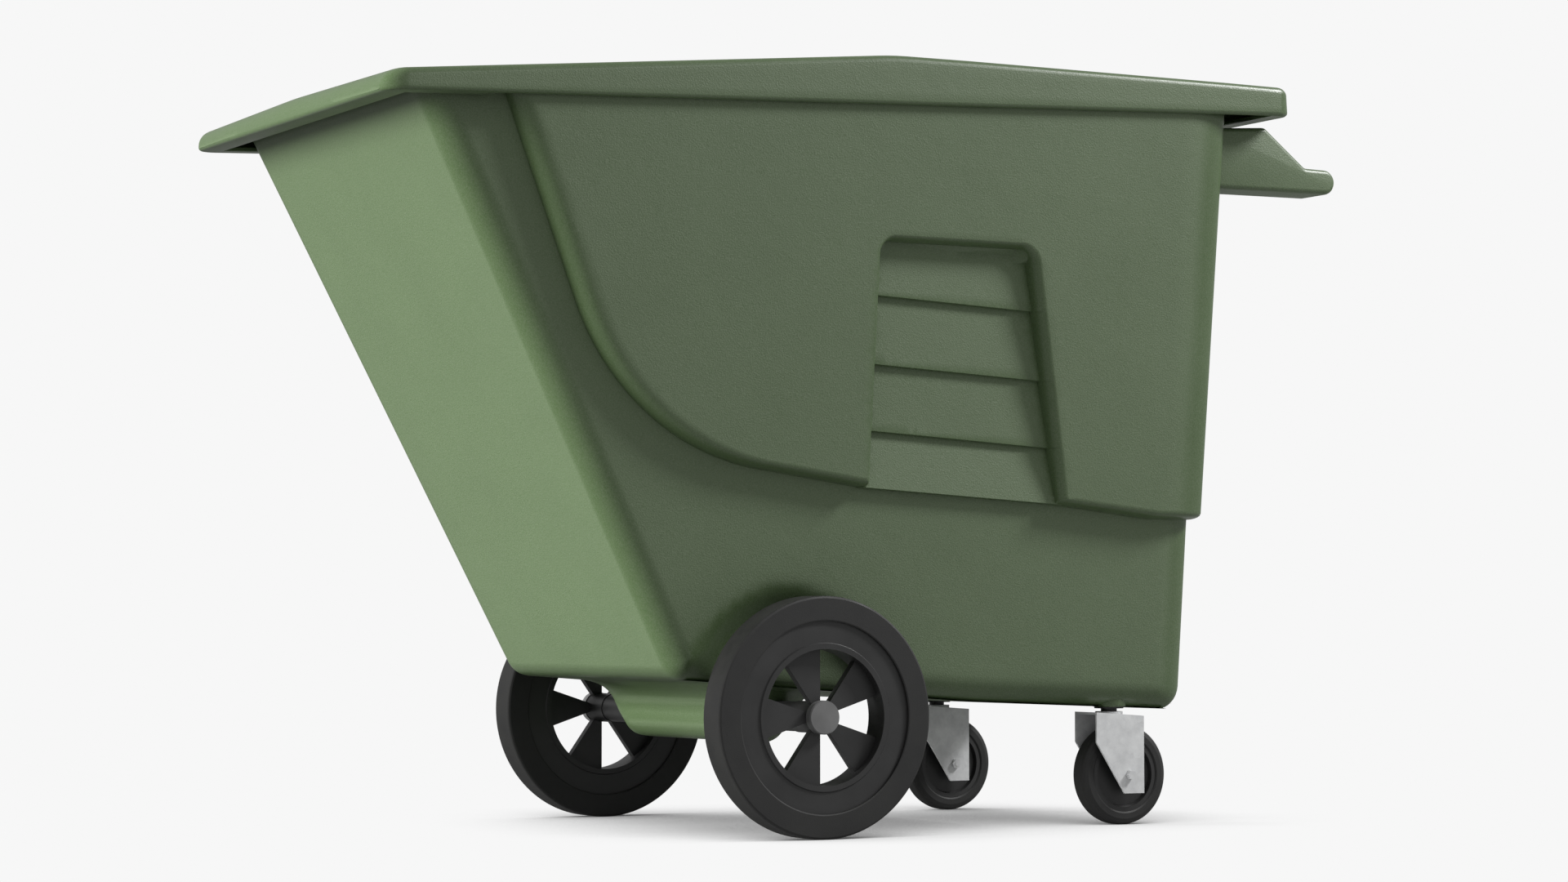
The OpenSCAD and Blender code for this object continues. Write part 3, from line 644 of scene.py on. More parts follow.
def build_tub():
    """Both skins of the tub's +Y half and the rim between them."""
    mesh = Mesh()
    outer, inner = Skin(0.0, True), Skin(wall, False)
    n_end = len(Skin.across) - 1 + len(Skin.arc)

    outlines = [offset_outline(q, outer) for q in OUTLINE_STEPS]
    rim_x = np.linspace(*outer.rim_ends(), 86)[1:-1]
    tops = np.array([line[0, 0] for line in outlines])
    clear = np.abs(rim_x[:, None] - tops).min(1) > line_gap / 3
    rim_x = np.sort(np.concatenate([rim_x[clear], tops]))

    ring = outer.bottom_ring(np.array([floor_knee_x]))
    ends = outer.ring_row(ring, ring[1])[[n_end - 1, n_end + 1], 0]
    bottom_x = np.concatenate(
        [
            np.linspace(ends[0], hump_x0 - hump_margin, 12)[1:-1],
            np.linspace(hump_x0 - hump_margin, hump_x1 + hump_margin, 52),
            np.linspace(hump_x1 + hump_margin, ends[1], 40)[1:-1],
        ]
    )
    floor_x = np.concatenate([[ends[0] + 2], bottom_x, [ends[1] - 2]])
    floor_y = float(skeleton_side(middle_z, corner_rear))

    for skin in (outer, inner):
        # bottom edge, and the underside inside it
        shaped = humped if skin.outer else (lambda p: p)
        ring = skin.bottom_ring(bottom_x)
        ring_c, ring_n, ring_r, ring_share = ring
        slope = np.where(ring_c[:, 0] > floor_knee_x, floor_rear_slope, floor_front_slope)
        under = columns(-slope, 0 * slope, -1 + 0 * slope)
        under /= np.linalg.norm(under, axis=1)[:, None]
        total = np.arccos(np.clip((ring_n * under).sum(1), -1, 1))[:, None]
        foot = skin.ring_row(ring, ring_n)
        rows = []
        for t in Skin.bend:
            normal = (np.sin((1 - t) * total) * ring_n + np.sin(t * total) * under) / np.sin(total)
            p = skin.ring_row(ring, normal)
            p[:, 1] += ring_share * arch(p[:, 0], p[:, 2]) * np.clip(normal[:, 1], 0, 1) ** 2
            rows.append(shaped(p))
        flat_x = np.concatenate([np.full(n_end, floor_x[0]), bottom_x, np.full(n_end, floor_x[-1])])
        rows.append(shaped(on_floor(flat_x, ring_share * floor_y, skin.inset)))
        mesh.grid(rows)
        mesh.grid([shaped(on_floor(floor_x, share * floor_y, skin.inset)) for share in Skin.across])

        # end walls with their corners
        rim_front, rim_rear = skin.rim_ends()
        lines = []
        for rear in (False, True):
            foot_row = foot[-n_end:][::-1] if rear else foot[:n_end]
            low, high = foot_row[-1, 2], rim_top(rim_rear if rear else rim_front) - rim_round
            if rear:
                steps = np.array([line[-1, 1] for line in outlines])
                heights = np.concatenate(
                    [np.linspace(low, steps[0] - 8, 14), steps, np.linspace(steps[-1] + 8, high, 40)]
                )
            else:
                heights = np.linspace(low, high, 44)
            normals, shares = skin.end_stations(rear)
            block = [skin.moved(foot_row, normals, shares, np.full(n_end, float(rear)))]
            block += [skin.end_row(rear, z) for z in heights[1:]]
            mesh.grid(block)
            line = columns(skin.column_lines(heights)[int(rear)], heights)
            line[0] = foot_row[-1, [0, 2]]
            lines.append(line)

        # side wall
        front_line, rear_line = lines
        rim_line = columns(rim_x, rim_top(rim_x) - rim_round)
        foot_line = foot[n_end:-n_end][:, [0, 2]]
        boundary = np.vstack([front_line[::-1], foot_line, rear_line, rim_line[::-1]])
        if skin.outer:
            lines = outlines + [pocket_line(q) for q in WALL_STEPS]
            for i, z in enumerate(slat_edge_z):
                start, end = float(pocket_left(z)) - slat_past_left, float(pocket_right(z)) + wall_w_right
                x = np.linspace(start, end, slat_points)
                lines += [columns(x, slat_edge(i, x) - drop) for drop in (0, slat_lip)]
            points, faces = side_patch(skin, boundary, lines, gap_outer)
        else:
            land = (land_h, land_h + 3, land_h + 7)
            lines = [columns(rim_x, rim_top(rim_x) - h) for h in land]
            points, faces = side_patch(skin, boundary, lines, gap_inner)
        mesh.add(points, faces)

    # rim, rounded on both edges
    rim_turn = 0.3 * rim_round
    loops = []
    for skin, inset, drop in (
        (outer, 0.0, rim_round),
        (outer, rim_turn, rim_turn),
        (outer, rim_round, 0.0),
        (inner, -rim_round, 0.0),
        (inner, -rim_turn, rim_turn),
        (inner, 0.0, rim_round),
    ):
        edge = Skin(skin.inset + inset, skin.outer)
        front, rear = (edge.end_row(k, rim_top(x) - drop) for k, x in enumerate(edge.rim_ends()))
        side = edge.side_points(rim_x, rim_top(rim_x) - rim_round)
        side[:, 2] += rim_round - drop
        loops.append(np.vstack([front, side, rear[::-1]]))
    mesh.grid(loops)
    return mesh


# ---- round bosses over the caster kingpins
king = middle("kingpin_left")
king_x, king_y = (king.x - AXLE.x) / MM, abs(king.y) / MM
boss_r, boss_z0, boss_z1, boss_round = 23.5, 158.2, 171.0, 3.0


def build_boss(y):
    """Turned boss, closed at its middle by points that weld."""
    mesh = Mesh()
    turn = np.linspace(0, 2 * math.pi, 49)
    centre_r = 0.01
    profile = [(centre_r, boss_z0)]
    for a in np.linspace(0, math.pi / 2, 5):
        profile.append((boss_r - boss_round * (1 - math.sin(a)), boss_z0 + boss_round * (1 - math.cos(a))))
    profile += [(boss_r, boss_z1), (centre_r, boss_z1)]
    rows = [(king_x + r * np.cos(turn), y + r * np.sin(turn), z + 0 * turn) for r, z in profile]
    mesh.grid([columns(*row) for row in rows])
    return mesh.object("boss", mirrored=False)


BEVEL_ANGLE, SHARP_ANGLE = 24, 35  # degrees: from here an edge is rounded, or shaded sharp


def prism(name, outline, y0, y1, bevel):
    """Side outline in mm carried from y0 to y1, with rounded edges."""
    bm = bmesh.new()
    ends = []
    for y in (y0, y1):
        ends.append([bm.verts.new(p) for p in placed([(x, y, z) for x, z in outline])])
    bm.faces.new(ends[0])
    bm.faces.new(ends[1][::-1])
    n = len(outline)
    for i in range(n):
        bm.faces.new((ends[0][i], ends[1][i], ends[1][(i + 1) % n], ends[0][(i + 1) % n]))
    bmesh.ops.recalc_face_normals(bm, faces=bm.faces)
    mesh = bpy.data.meshes.new(name)
    bm.to_mesh(mesh)
    bm.free()
    obj = linked(name, mesh)
    rounding = obj.modifiers.new("round", "BEVEL")
    rounding.width = bevel * MM
    rounding.segments = 4
    rounding.limit_method = "ANGLE"
    rounding.angle_limit = math.radians(BEVEL_ANGLE)
    depsgraph = bpy.context.evaluated_depsgraph_get()
    obj.data = bpy.data.meshes.new_from_object(obj.evaluated_get(depsgraph))
    obj.modifiers.clear()
    smooth(obj.data, SHARP_ANGLE)
    return obj


def arc_points(cx, cz, r, a0, a1, n):
    """n points of an arc in X and Z, from angle a0 to a1 in degrees."""
    angles = [math.radians(a) for a in np.linspace(a0, a1, n)]
    return [(cx + r * math.cos(a), cz + r * math.sin(a)) for a in angles]


# ---- handle horns at the rear corners
horn_out_y, horn_w, horn_root_x, horn_nose_r, horn_bevel = 290.0, 63.0, 632.0, 17.0, 6.5
horn_tip_x = (cad_bounds[1].x - AXLE.x) / MM
horn_nose = (horn_tip_x - horn_nose_r, 880.0)
horn_fall, horn_root_top = 2.8, 943.0  # to the root, and the root's top
hollow_back, hollow_up, hollow_r = 31.0, 9.5, 9.0  # between the nose and the slope
shoulder_x, shoulder_z, shoulder_r = 716.0, 939.0, 10.0  # where the slope meets the top


def horn_outline():
    x, z = horn_nose
    top = z + horn_nose_r
    return (
        [(horn_root_x, z - horn_nose_r - horn_fall), (x, z - horn_nose_r)]
        + arc_points(x, z, horn_nose_r, -80, 80, 16)
        + [(x, top)]
        + arc_points(x - hollow_back, top + hollow_up, hollow_r, 268, 228, 5)
        + arc_points(shoulder_x, shoulder_z, shoulder_r, 48, 92, 5)
        + [(horn_root_x, horn_root_top)]
    )


# ---------------------------------------------------------------- lid form
lid_half_w = lid_high.y / MM
lid_front_x = (lid_low.x - AXLE.x) / MM
lid_rear_x = 739.0
ridge_x, ridge_z, lid_rear_z, lid_crown, lid_wall = 101.0, 995.5, 999.6, 5.0, 5.0
lid_front_rise = 28.4  # of the side's upper edge, over the lid's foot
ridge_half, ridge_fall, ridge_rise = 12.0, 1.1, 0.3  # the ridge is rounded off over this
level_from, level_until, level_fall = 120.0, 110.0, 2.4  # the rear part levels out
tent_round = 14.0  # rounding of the crown's middle
# horizontal and vertical extent of the lid's edge rounding
edge_front, edge_side, edge_rear = (24.0, 26.0), (9.0, 9.0), (16.0, 14.0)
# corner radii in plan: along X at the front, along Y, along X at the rear
plan_r = (30.0, 26.0, 26.0)
rear_lean_in, lid_foot_r = 1.7, 5.0
# width of the ring round the lid's opening: at the ends, at the sides, and at the sides before ring_step_x
ring_end_w, ring_side_w, ring_nose_w, ring_step_x, ring_step_half = 35.0, 7.0, 27.0, -462.0, 4.0
ring_edge = 1.2  # rounding of the ring's inner edge


def lid_top(x, y):
    """Height of the lid's upper face, which rises from its sides to the middle."""
    knots = [
        (lid_front_x + edge_front[0], rim_z(lid_front_x) + lid_front_rise),
        (ridge_x - ridge_half, ridge_z - ridge_fall),
        (ridge_x + ridge_half, ridge_z + ridge_rise),
        (ridge_x + level_from, lid_rear_z - level_fall),
        (lid_rear_x - level_until, lid_rear_z),
        (lid_rear_x, lid_rear_z),
    ]
    side = np.interp(x, *zip(*knots))
    tent = np.hypot(np.abs(y), tent_round)
    return side + lid_crown * (1 - tent / lid_half_w)


class LidLoop:
    """Half loops round the lid, from the middle of the front to the middle of the rear."""

    across = np.concatenate([np.linspace(0, 0.9, 22), [0.94, 0.97, 1.0]])
    arc = np.linspace(0, 1, 9)
    side = np.linspace(0, 1, 90)

    def loop(self, inset, height):
        """Loop that lies inset mm in from the front, side and rear, at height(x, y)."""
        r_f, r_s, r_r = (max(r - e, 0) for r, e in zip(plan_r, inset))
        xf, xr = lid_front_x + max(plan_r[0], inset[0]), lid_rear_x - max(plan_r[2], inset[2])
        ys = lid_half_w - max(plan_r[1], inset[1])
        turn = self.arc * math.pi / 2
        front = columns(np.full(len(self.across) - 1, xf - r_f), self.across[:-1] * ys)
        corner_f = columns(xf - r_f * np.cos(turn), ys + r_s * np.sin(turn))
        side = columns(xf + (xr - xf) * self.side[1:-1], np.full(len(self.side) - 2, ys + r_s))
        corner_r = columns(xr + r_r * np.cos(turn[::-1]), ys + r_s * np.sin(turn[::-1]))
        rear = columns(np.full(len(self.across) - 1, xr + r_r), self.across[:-1][::-1] * ys)
        plan = np.vstack([front, corner_f, side, corner_r, rear])
        return np.column_stack([plan, height(plan[:, 0], plan[:, 1])])

    def weights(self):
        """Share of front, side and rear at each station."""
        n, m, k = len(self.across) - 1, len(self.arc), len(self.side) - 2
        turn = self.arc
        front = np.concatenate([np.ones(n), 1 - turn, np.zeros(k + m + n)])
        rear = np.concatenate([np.zeros(n + m + k), 1 - turn[::-1], np.ones(n)])
        return front, 1 - front - rear, rear

    def cap(self, drop):
        """The field inside the loop whose inset is plan_r."""
        xf, xr = lid_front_x + plan_r[0], lid_rear_x - plan_r[2]
        ys = lid_half_w - plan_r[1]
        x = xf + (xr - xf) * self.side
        rows = [(x, np.full(len(x), s * ys), lid_top(x, s * ys) - drop) for s in self.across]
        return [columns(*row) for row in rows]


def build_lid():
    """The lid's +Y half: ring, skirt, rounded edge and top, then the inner skin."""
    mesh = Mesh()
    maker = LidLoop()
    front, side, rear = maker.weights()
    v_radius = front * edge_front[1] + side * edge_side[1] + rear * edge_rear[1]
    loops = [maker.loop((lid_wall,) * 3, lambda x, y: rim_z(x) + lid_wall)]
    step = [ring_step_x - ring_step_half, ring_step_x + ring_step_half]
    for less, up in ((0, lid_wall), (0, ring_edge), (ring_edge, 0)):
        inset = (ring_end_w - less, ring_side_w - less, ring_end_w - less)
        row = maker.loop(inset, lambda x, y: rim_z(x) + up)
        side_w = np.interp(row[:, 0], step, [ring_nose_w, ring_side_w]) - less
        row[:, 1] = np.minimum(row[:, 1], lid_half_w - side_w)
        loops.append(row)
    for a in np.linspace(0, math.pi / 2, 5):
        e, up = lid_foot_r * (1 - math.sin(a)), lid_foot_r * (1 - math.cos(a))
        loops.append(maker.loop((e, e, e), lambda x, y: rim_z(x) + up))
    crest = maker.loop((edge_front[0], edge_side[0], edge_rear[0]), lid_top)
    for s in (0.25, 0.5, 0.75):
        low = maker.loop((0, 0, rear_lean_in * s), lid_top)
        low[:, 2] = (rim_z(low[:, 0]) + lid_foot_r) * (1 - s) + (crest[:, 2] - v_radius) * s
        loops.append(low)
    for a in np.linspace(0, math.pi / 2, 9):
        share = 1 - math.cos(a)
        rear_in = rear_lean_in + (edge_rear[0] - rear_lean_in) * share
        row = maker.loop((edge_front[0] * share, edge_side[0] * share, rear_in), lid_top)
        row[:, 2] = crest[:, 2] - v_radius * (1 - math.sin(a))
        loops.append(row)
    for t in (0.35, 0.7, 1.0):
        inset = [e[0] + (r - e[0]) * t for e, r in zip((edge_front, edge_side, edge_rear), plan_r)]
        loops.append(maker.loop(inset, lid_top))
    mesh.grid(loops)
    mesh.grid(maker.cap(0.0))
    # inner skin
    inner = [loops[0]]
    inner_inset = (edge_front[0] + 4, edge_side[0] + 3, edge_rear[0] + 3)
    roof = maker.loop(inner_inset, lambda x, y: lid_top(x, y) - lid_wall)
    for t in (0.35, 0.7):
        row = maker.loop(tuple(lid_wall + (e - lid_wall) * (t**2) for e in inner_inset), lid_top)
        row[:, 2] = loops[0][:, 2] * (1 - t) + (roof[:, 2] - 1) * t
        inner.append(row)
    inner += [roof, maker.loop(plan_r, lambda x, y: lid_top(x, y) - lid_wall)]
    mesh.grid(inner)
    mesh.grid(maker.cap(lid_wall))
    return mesh


# ---- rib under the lid, just above the tub's rim
rib_t, rib_r, rib_gap, rib_sunk, rib_edge = 5.0, 10.0, 0.4, 1.5, 1.0
rib_front_in, rib_rear_in, rib_side_in = 1.5, 2.0, 1.0  # from the tub's outer faces at the rim
rim_front_z, rim_side_z, rim_rear_z = 913.0, 930.0, 968.0  # height of the rim at the front, side and rear


def build_rib():
    mesh = Mesh()
    x0 = (front_x0 - front_lean * rim_front_z) + rib_front_in
    x1 = rear_x0 + rear_step0 + (rear_lean + rear_step_lean) * rim_rear_z - rib_rear_in
    y1 = side_half_w0 + side_lean * rim_side_z - rib_side_in
    turn = np.linspace(0, math.pi / 2, 7)

    def loop(e, height):
        r = rib_r - e
        xf, xr, ys = x0 + rib_r, x1 - rib_r, y1 - rib_r
        plan = np.vstack(
            [
                columns(np.full(12, xf - r), np.linspace(0, ys, 12))[:-1],
                columns(xf - r * np.cos(turn), ys + r * np.sin(turn)),
                columns(np.linspace(xf, xr, 60)[1:-1], np.full(58, ys + r)),
                columns(xr + r * np.sin(turn), ys + r * np.cos(turn)),
                columns(np.full(12, xr + r), np.linspace(ys, 0, 12))[1:],
            ]
        )
        return np.column_stack([plan, height(plan[:, 0], plan[:, 1])])

    def foot(x, y):
        return rim_top(x) + rib_gap

    def edge(x, y):
        return foot(x, y) + rib_edge

    def head(x, y):
        return lid_top(x, y) - rib_sunk

    section = [(0, head), (0, edge), (rib_edge, foot), (rib_t - rib_edge, foot), (rib_t, edge), (rib_t, head)]
    mesh.grid([loop(e, height) for e, height in section + section[:1]])
    return mesh


# ---- lid lugs round the hinge pins
hinge = middle("hinge_pins")
hinge_x, hinge_z = (hinge.x - AXLE.x) / MM, hinge.z / MM
hinge_y, lug_w, lug_r, lug_bore, lug_points = 104.0, 24.0, 8.6, 4.08, 40
web_top, web_foot = (7.0, 14.0), (6.0, 5.0)  # in from the lid's rear, and above or below the pin


def build_lug(y):
    """Web from the lid's rear face ending in a barrel with a bore."""
    web = [(lid_rear_x - web_top[0], hinge_z + web_top[1]), (lid_rear_x - web_foot[0], hinge_z - web_foot[1])]
    outline = np.array([web[0]] + arc_points(hinge_x, hinge_z, lug_r, 100, -90, lug_points) + [web[1]])
    front = np.array(arc_points(hinge_x, hinge_z, lug_bore, 100, -90, lug_points))
    front = np.vstack([front[:1], front, front[-1:]])
    back = np.array(arc_points(hinge_x, hinge_z, lug_bore, 100, 270, lug_points))
    web_line = np.linspace(web[0], web[1], lug_points)
    mesh = Mesh()
    for bore, edge in ((front, outline), (back, web_line)):
        rows = ((bore, -1), (edge, -1), (edge, 1), (bore, 1), (bore, -1))
        rows = [(p[:, 0], np.full(len(p), y + k * lug_w / 2), p[:, 1]) for p, k in rows]
        mesh.grid([columns(*row) for row in rows])
    return mesh.object("lug", mirrored=False, sharp=SHARP_ANGLE)


# ---------------------------------------------------------------- materials
def srgb(*rgb):
    return [c / 255 / 12.92 if c / 255 <= 0.04045 else ((c / 255 + 0.055) / 1.055) ** 2.4 for c in rgb] + [1.0]


# the flats' colours are the rounded edges' green with a painted grey sheen added; dark and light differ at
# random
SHEENED_FLAT_DARK, SHEENED_FLAT_LIGHT = srgb(80, 97, 67), srgb(83, 100, 70)
EDGE_DARK, EDGE_LIGHT = srgb(66, 85, 51), srgb(69, 88, 54)
GRAIN_LIGHT = srgb(150, 158, 140)


class Nodes:
    """A few short calls for building a material's node tree."""

    def __init__(self, name):
        self.material = bpy.data.materials.new(name)
        self.material.use_nodes = True
        self.tree = self.material.node_tree
        self.shader = self.tree.nodes["Principled BSDF"]
        self.place = self.tree.nodes.new("ShaderNodeTexCoord").outputs["Object"]

    def node(self, kind, inputs=None, **settings):
        n = self.tree.nodes.new(kind)
        for k, v in settings.items():
            setattr(n, k, v)
        for k, v in (inputs or {}).items():
            if hasattr(v, "links"):
                self.tree.links.new(v, n.inputs[k])
            else:
                n.inputs[k].default_value = v
        return n

    def noise(self, scale, detail=3.0, rough=0.5, stretch=None):
        place = self.place
        if stretch:
            place = self.node("ShaderNodeMapping", {"Vector": self.place, "Scale": stretch}).outputs["Vector"]
        return self.node(
            "ShaderNodeTexNoise", {"Vector": place, "Scale": scale, "Detail": detail, "Roughness": rough}
        ).outputs["Fac"]

    def ramp(self, value, low, high, out_low=0.0, out_high=1.0):
        return self.node(
            "ShaderNodeMapRange",
            {"Value": value, "From Min": low, "From Max": high, "To Min": out_low, "To Max": out_high},
        ).outputs["Result"]

    def mix(self, factor, a, b):
        return self.node("ShaderNodeMix", {0: factor, 6: a, 7: b}, data_type="RGBA").outputs[2]

    def math(self, how, a, b):
        return self.node("ShaderNodeMath", {0: a, 1: b}, operation=how).outputs[0]

    def bump(self, height, distance, strength=1.0, under=None):
        inputs = {"Height": height, "Distance": distance, "Strength": strength}
        if under:
            inputs["Normal"] = under
        return self.node("ShaderNodeBump", inputs).outputs["Normal"]

    def set(self, **inputs):
        for k, v in inputs.items():
            k = k.replace("_", " ")
            if hasattr(v, "links"):
                self.tree.links.new(v, self.shader.inputs[k])
            else:
                self.shader.inputs[k].default_value = v
        return self.material


def green_shell():
    """Rotomoulded polyethylene: pebble grain on the flats, smoother on rounded edges; the flats carry a
    painted grey sheen, so the rounded edges look deeper green.
    """
    m = Nodes("green_shell")
    flat = m.node("ShaderNodeAttribute", attribute_name="flat_share").outputs["Fac"]
    mottle = m.noise(9.0, 4.0, 0.55)
    grain = m.noise(620.0, 2.0, 0.6)
    pebble = m.node("ShaderNodeTexVoronoi", {"Vector": m.place, "Scale": 520.0}).outputs["Distance"]
    # painted sheen: the flats are lighter and greyer than the rounded edges
    flat_with_sheen = m.mix(m.ramp(mottle, 0.3, 0.7), SHEENED_FLAT_DARK, SHEENED_FLAT_LIGHT)
    on_edge = m.mix(m.ramp(mottle, 0.3, 0.7), EDGE_DARK, EDGE_LIGHT)
    colour = m.mix(flat, on_edge, flat_with_sheen)
    colour = m.mix(m.ramp(grain, 0.35, 0.75, 0.0, 0.16), colour, GRAIN_LIGHT)
    rough = m.math("ADD", m.ramp(flat, 0, 1, 0.36, 0.55), m.ramp(mottle, 0.3, 0.7, -0.03, 0.04))
    height = m.math("MULTIPLY", m.math("ADD", grain, pebble), m.ramp(flat, 0, 1, 0.25, 1.0))
    coarse = m.bump(m.noise(38.0, 2.0), 0.0009, 0.35)
    normal = m.bump(height, 0.0004, 0.5, coarse)
    return m.set(Base_Color=colour, Roughness=rough, Normal=normal, Specular_IOR_Level=0.5)


def black_rubber():
    """Tyre rubber: dull, slightly cloudy."""
    m = Nodes("black_rubber")
    cloud = m.noise(26.0, 5.0, 0.6)
    grain = m.noise(900.0, 2.0)
    colour = m.mix(m.ramp(cloud, 0.3, 0.7), srgb(27, 27, 27), srgb(36, 36, 35))
    rough = m.ramp(cloud, 0.3, 0.7, 0.55, 0.68)
    normal = m.bump(grain, 0.0003, 0.35)
    return m.set(Base_Color=colour, Roughness=rough, Normal=normal, Specular_IOR_Level=0.45)


def moulded_plastic(name, dark, light, rough_low, rough_high, cloud_scale, grain_scale, grain_strength):
    """Plastic with faint clouds in tone and gloss, and a fine grain."""
    m = Nodes(name)
    cloud = m.noise(cloud_scale, 4.0)
    grain = m.noise(grain_scale, 2.0)
    colour = m.mix(m.ramp(cloud, 0.3, 0.7), srgb(dark, dark, dark), srgb(light, light, light))
    rough = m.ramp(cloud, 0.3, 0.7, rough_low, rough_high)
    return m.set(Base_Color=colour, Roughness=rough, Normal=m.bump(grain, 0.0002, grain_strength))


def zinc_steel():
    """Galvanised sheet: soft cloudy spangle with faint rolling marks."""
    m = Nodes("zinc_steel")
    cells = m.node("ShaderNodeTexVoronoi", {"Vector": m.place, "Scale": 95.0, "Randomness": 1.0})
    cell = m.node("ShaderNodeSeparateColor", {"Color": cells.outputs["Color"]}).outputs[0]
    cloud = m.noise(45.0, 5.0, 0.62)
    tone = m.math("ADD", m.math("MULTIPLY", cell, 0.12), m.math("MULTIPLY", cloud, 1.0))
    colour = m.mix(m.ramp(tone, 0.35, 0.85), srgb(196, 197, 198), srgb(226, 227, 227))
    rough = m.ramp(tone, 0.35, 0.85, 0.56, 0.46)
    scratch = m.noise(60.0, 3.0, 0.6, stretch=(1.0, 1.0, 18.0))
    return m.set(Base_Color=colour, Roughness=rough, Metallic=0.2, Normal=m.bump(scratch, 0.0003, 0.10))


# ---------------------------------------------------------------- pieces
materials = {
    "green_shell": green_shell(),
    "black_rubber": black_rubber(),
    "black_plastic": moulded_plastic("black_plastic", 33, 42, 0.42, 0.54, 18.0, 1300.0, 0.3),
    "grey_plastic": moulded_plastic("grey_plastic", 98, 112, 0.4, 0.5, 30.0, 1400.0, 0.25),
    "zinc_steel": zinc_steel(),
}


def dress(obj, slot):
    """Gives the object its slot's material."""
    obj.data.materials.clear()
    obj.data.materials.append(materials[slot])


def joined(name, parts):
    """One object from several."""
    with bpy.context.temp_override(active_object=parts[0], selected_editable_objects=parts):
        bpy.ops.object.join()
    parts[0].name = name
    parts[0].data.name = name
    return parts[0]


slat_lean = 0.08  # of the louvres' slats, on top of the side wall's
tub_planes = [FRONT, REAR, -FRONT, -REAR]
tub_planes += [[-floor_front_slope, 0, -1], [-floor_rear_slope, 0, -1], [0, 0, -1]]  # underside
tub_planes += [[0.07, 0, 1], [0.04, 0, 1]]  # inside of the floor
for s in (1, -1):
    tub_planes += [SIDE * [1, s, 1], -SIDE * [1, s, 1], [0, s, 0], [0, s, -side_lean - slat_lean]]

tub = build_tub().object("tub_shell")
horns = [
    prism("horn", horn_outline(), -horn_out_y, horn_w - horn_out_y, horn_bevel),
    prism("horn", horn_outline(), horn_out_y - horn_w, horn_out_y, horn_bevel),
]
tub = joined("tub_shell", [tub] + horns + [build_boss(s * king_y) for s in (-1, 1)])
mark_flats(tub, tub_planes)
dress(tub, "green_shell")
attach(tub, "truck")
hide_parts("tub")

lid_front_tilt = (ridge_z - rim_z(lid_front_x) - lid_front_rise) / (ridge_x - lid_front_x - edge_front[0])
crown_tilt = lid_crown / lid_half_w
lid_planes = [[0, 1, 0], [0, -1, 0], [1, 0, 0.06], [rim_slope, 0, -1]]
for s in (1, -1):
    lid_planes += [[-lid_front_tilt, s * crown_tilt, 1], [-0.01, s * crown_tilt, 1], [0, s * crown_tilt, 1]]
lid = build_lid().object("lid_shell")
rib = build_rib().object("lid_rib")
lugs = [build_lug(s * hinge_y) for s in (-1, 1)]
lid = joined("lid_shell", [lid, rib] + lugs)
mark_flats(lid, lid_planes)
dress(lid, "green_shell")
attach(lid, "lid_body")
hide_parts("lid")

slots = {p["node"]: p["material_slot"] for p in frame["record"]["subparts"]}
for name, node in frame["nodes"].items():
    if name not in ("tub", "lid"):
        dress(node, slots[name])

# ---------------------------------------------------------------- stage, light and camera
# BACKDROP is the glowing white; PAINTED_CONTACT_SHADE is the grey of the contact shadow painted on the floor
BACKDROP, PAINTED_CONTACT_SHADE = srgb(247, 247, 247), srgb(70, 70, 70)
FLOOR_HALF = 30.0  # metres
FLOOR_DIFFUSE, AMBIENT = 0.32, 0.47
OPEN_SIDE, COVER_REACH = {"X": -0.45, "Y": -0.22, "Z": 0.86}, 0.34  # the shadow falls away from here
KEY_TOWARD, KEY_AWAY, KEY_SIZE, KEY_POWER = (1.7, -1.0, 1.5), 4.6, 1.1, 190.0
FRONT_TOWARD, FRONT_STRENGTH, FRONT_SPREAD = (-1.0, 0.20, 0.20), 7.05, 28  # spread in degrees
LIT_POINT = Vector((0, 0, 0.5))

floor_mesh = bpy.data.meshes.new("stage_floor")
floor_corners = [(x * FLOOR_HALF, y * FLOOR_HALF, 0) for x, y in ((-1, -1), (1, -1), (1, 1), (-1, 1))]
floor_mesh.from_pydata(floor_corners, [], [(0, 1, 2, 3)])
stage_floor = linked("stage_floor", floor_mesh)
# the camera sees a glowing white with a soft contact shadow painted into it from ambient occlusion; to the
# object the floor is a dim diffuser
paper = Nodes("stage_paper")
paper.set(Base_Color=[FLOOR_DIFFUSE] * 3 + [1.0], Roughness=1.0, Specular_IOR_Level=0.0)
open_side = paper.node("ShaderNodeCombineXYZ", OPEN_SIDE).outputs["Vector"]
cover = paper.node("ShaderNodeAmbientOcclusion", {"Distance": COVER_REACH, "Normal": open_side}, samples=8)
shade = paper.ramp(cover.outputs["AO"], 0.16, 0.80)
glow = paper.node("ShaderNodeEmission", {"Color": paper.mix(shade, PAINTED_CONTACT_SHADE, BACKDROP)})
seen = paper.node("ShaderNodeLightPath").outputs["Is Camera Ray"]
either = paper.node("ShaderNodeMixShader", {0: seen, 1: paper.shader.outputs[0], 2: glow.outputs[0]})
paper.tree.links.new(either.outputs[0], paper.tree.nodes["Material Output"].inputs["Surface"])
floor_mesh.materials.append(paper.material)

scene = bpy.context.scene
scene.view_settings.view_transform = "Standard"
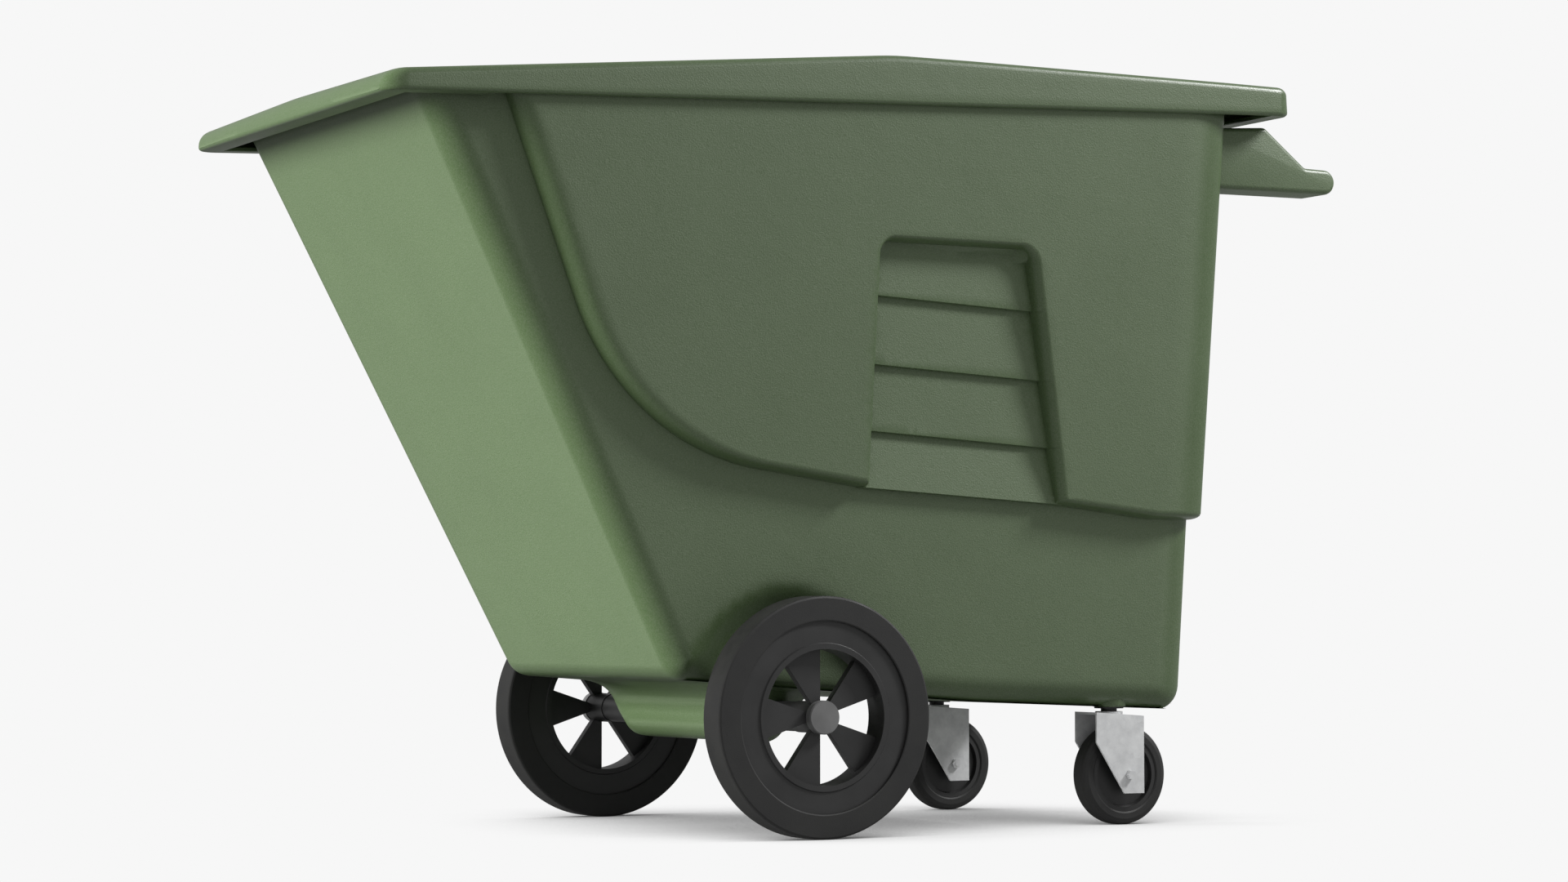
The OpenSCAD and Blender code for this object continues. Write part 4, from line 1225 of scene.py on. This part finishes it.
# the camera sees the world as the backdrop; the object is lit by an even white
world = bpy.data.worlds.new("studio")
world.use_nodes = True
tree = world.node_tree
ambient = tree.nodes["Background"]
ambient.inputs["Color"].default_value = (1, 1, 1, 1)
ambient.inputs["Strength"].default_value = AMBIENT
backdrop = tree.nodes.new("ShaderNodeBackground")
backdrop.inputs["Color"].default_value = BACKDROP
path = tree.nodes.new("ShaderNodeLightPath")
choose = tree.nodes.new("ShaderNodeMixShader")
tree.links.new(path.outputs["Is Camera Ray"], choose.inputs["Fac"])
tree.links.new(ambient.outputs[0], choose.inputs[1])
tree.links.new(backdrop.outputs[0], choose.inputs[2])
tree.links.new(choose.outputs[0], tree.nodes["World Output"].inputs["Surface"])
scene.world = world


def light(name, kind, toward, energy, away=0.0):
    """Light that shines on LIT_POINT from the direction toward."""
    data = bpy.data.lights.new(name, kind)
    data.energy = energy
    obj = bpy.data.objects.new(name, data)
    scene.collection.objects.link(obj)
    toward = Vector(toward).normalized()
    obj.location = LIT_POINT + toward * away
    obj.rotation_euler = toward.to_track_quat("Z", "Y").to_euler()
    return obj


front_light = light("front", "SUN", FRONT_TOWARD, FRONT_STRENGTH)
front_light.data.angle = math.radians(FRONT_SPREAD)
front_light.visible_glossy = False  # it is low, and would glare off the lid in views from behind
key_light = light("key", "AREA", KEY_TOWARD, KEY_POWER, KEY_AWAY)
key_light.data.shape, key_light.data.size = "DISK", KEY_SIZE

CAMERA_PLACE, CAMERA_YAW, CAMERA_PITCH = (AXLE.x - 2.24069, -4.17827, 0.27155), 0.515, 0.051
camera_data = bpy.data.cameras.new("camera")
camera_data.lens = 81.55
camera_data.sensor_width = 36.0
camera_data.clip_end = 200
camera = bpy.data.objects.new("camera", camera_data)
scene.collection.objects.link(camera)
camera.location = CAMERA_PLACE
level = math.cos(CAMERA_PITCH)
forward = Vector((math.sin(CAMERA_YAW) * level, math.cos(CAMERA_YAW) * level, math.sin(CAMERA_PITCH)))
camera.rotation_euler = forward.to_track_quat("-Z", "Y").to_euler()
scene.camera = camera
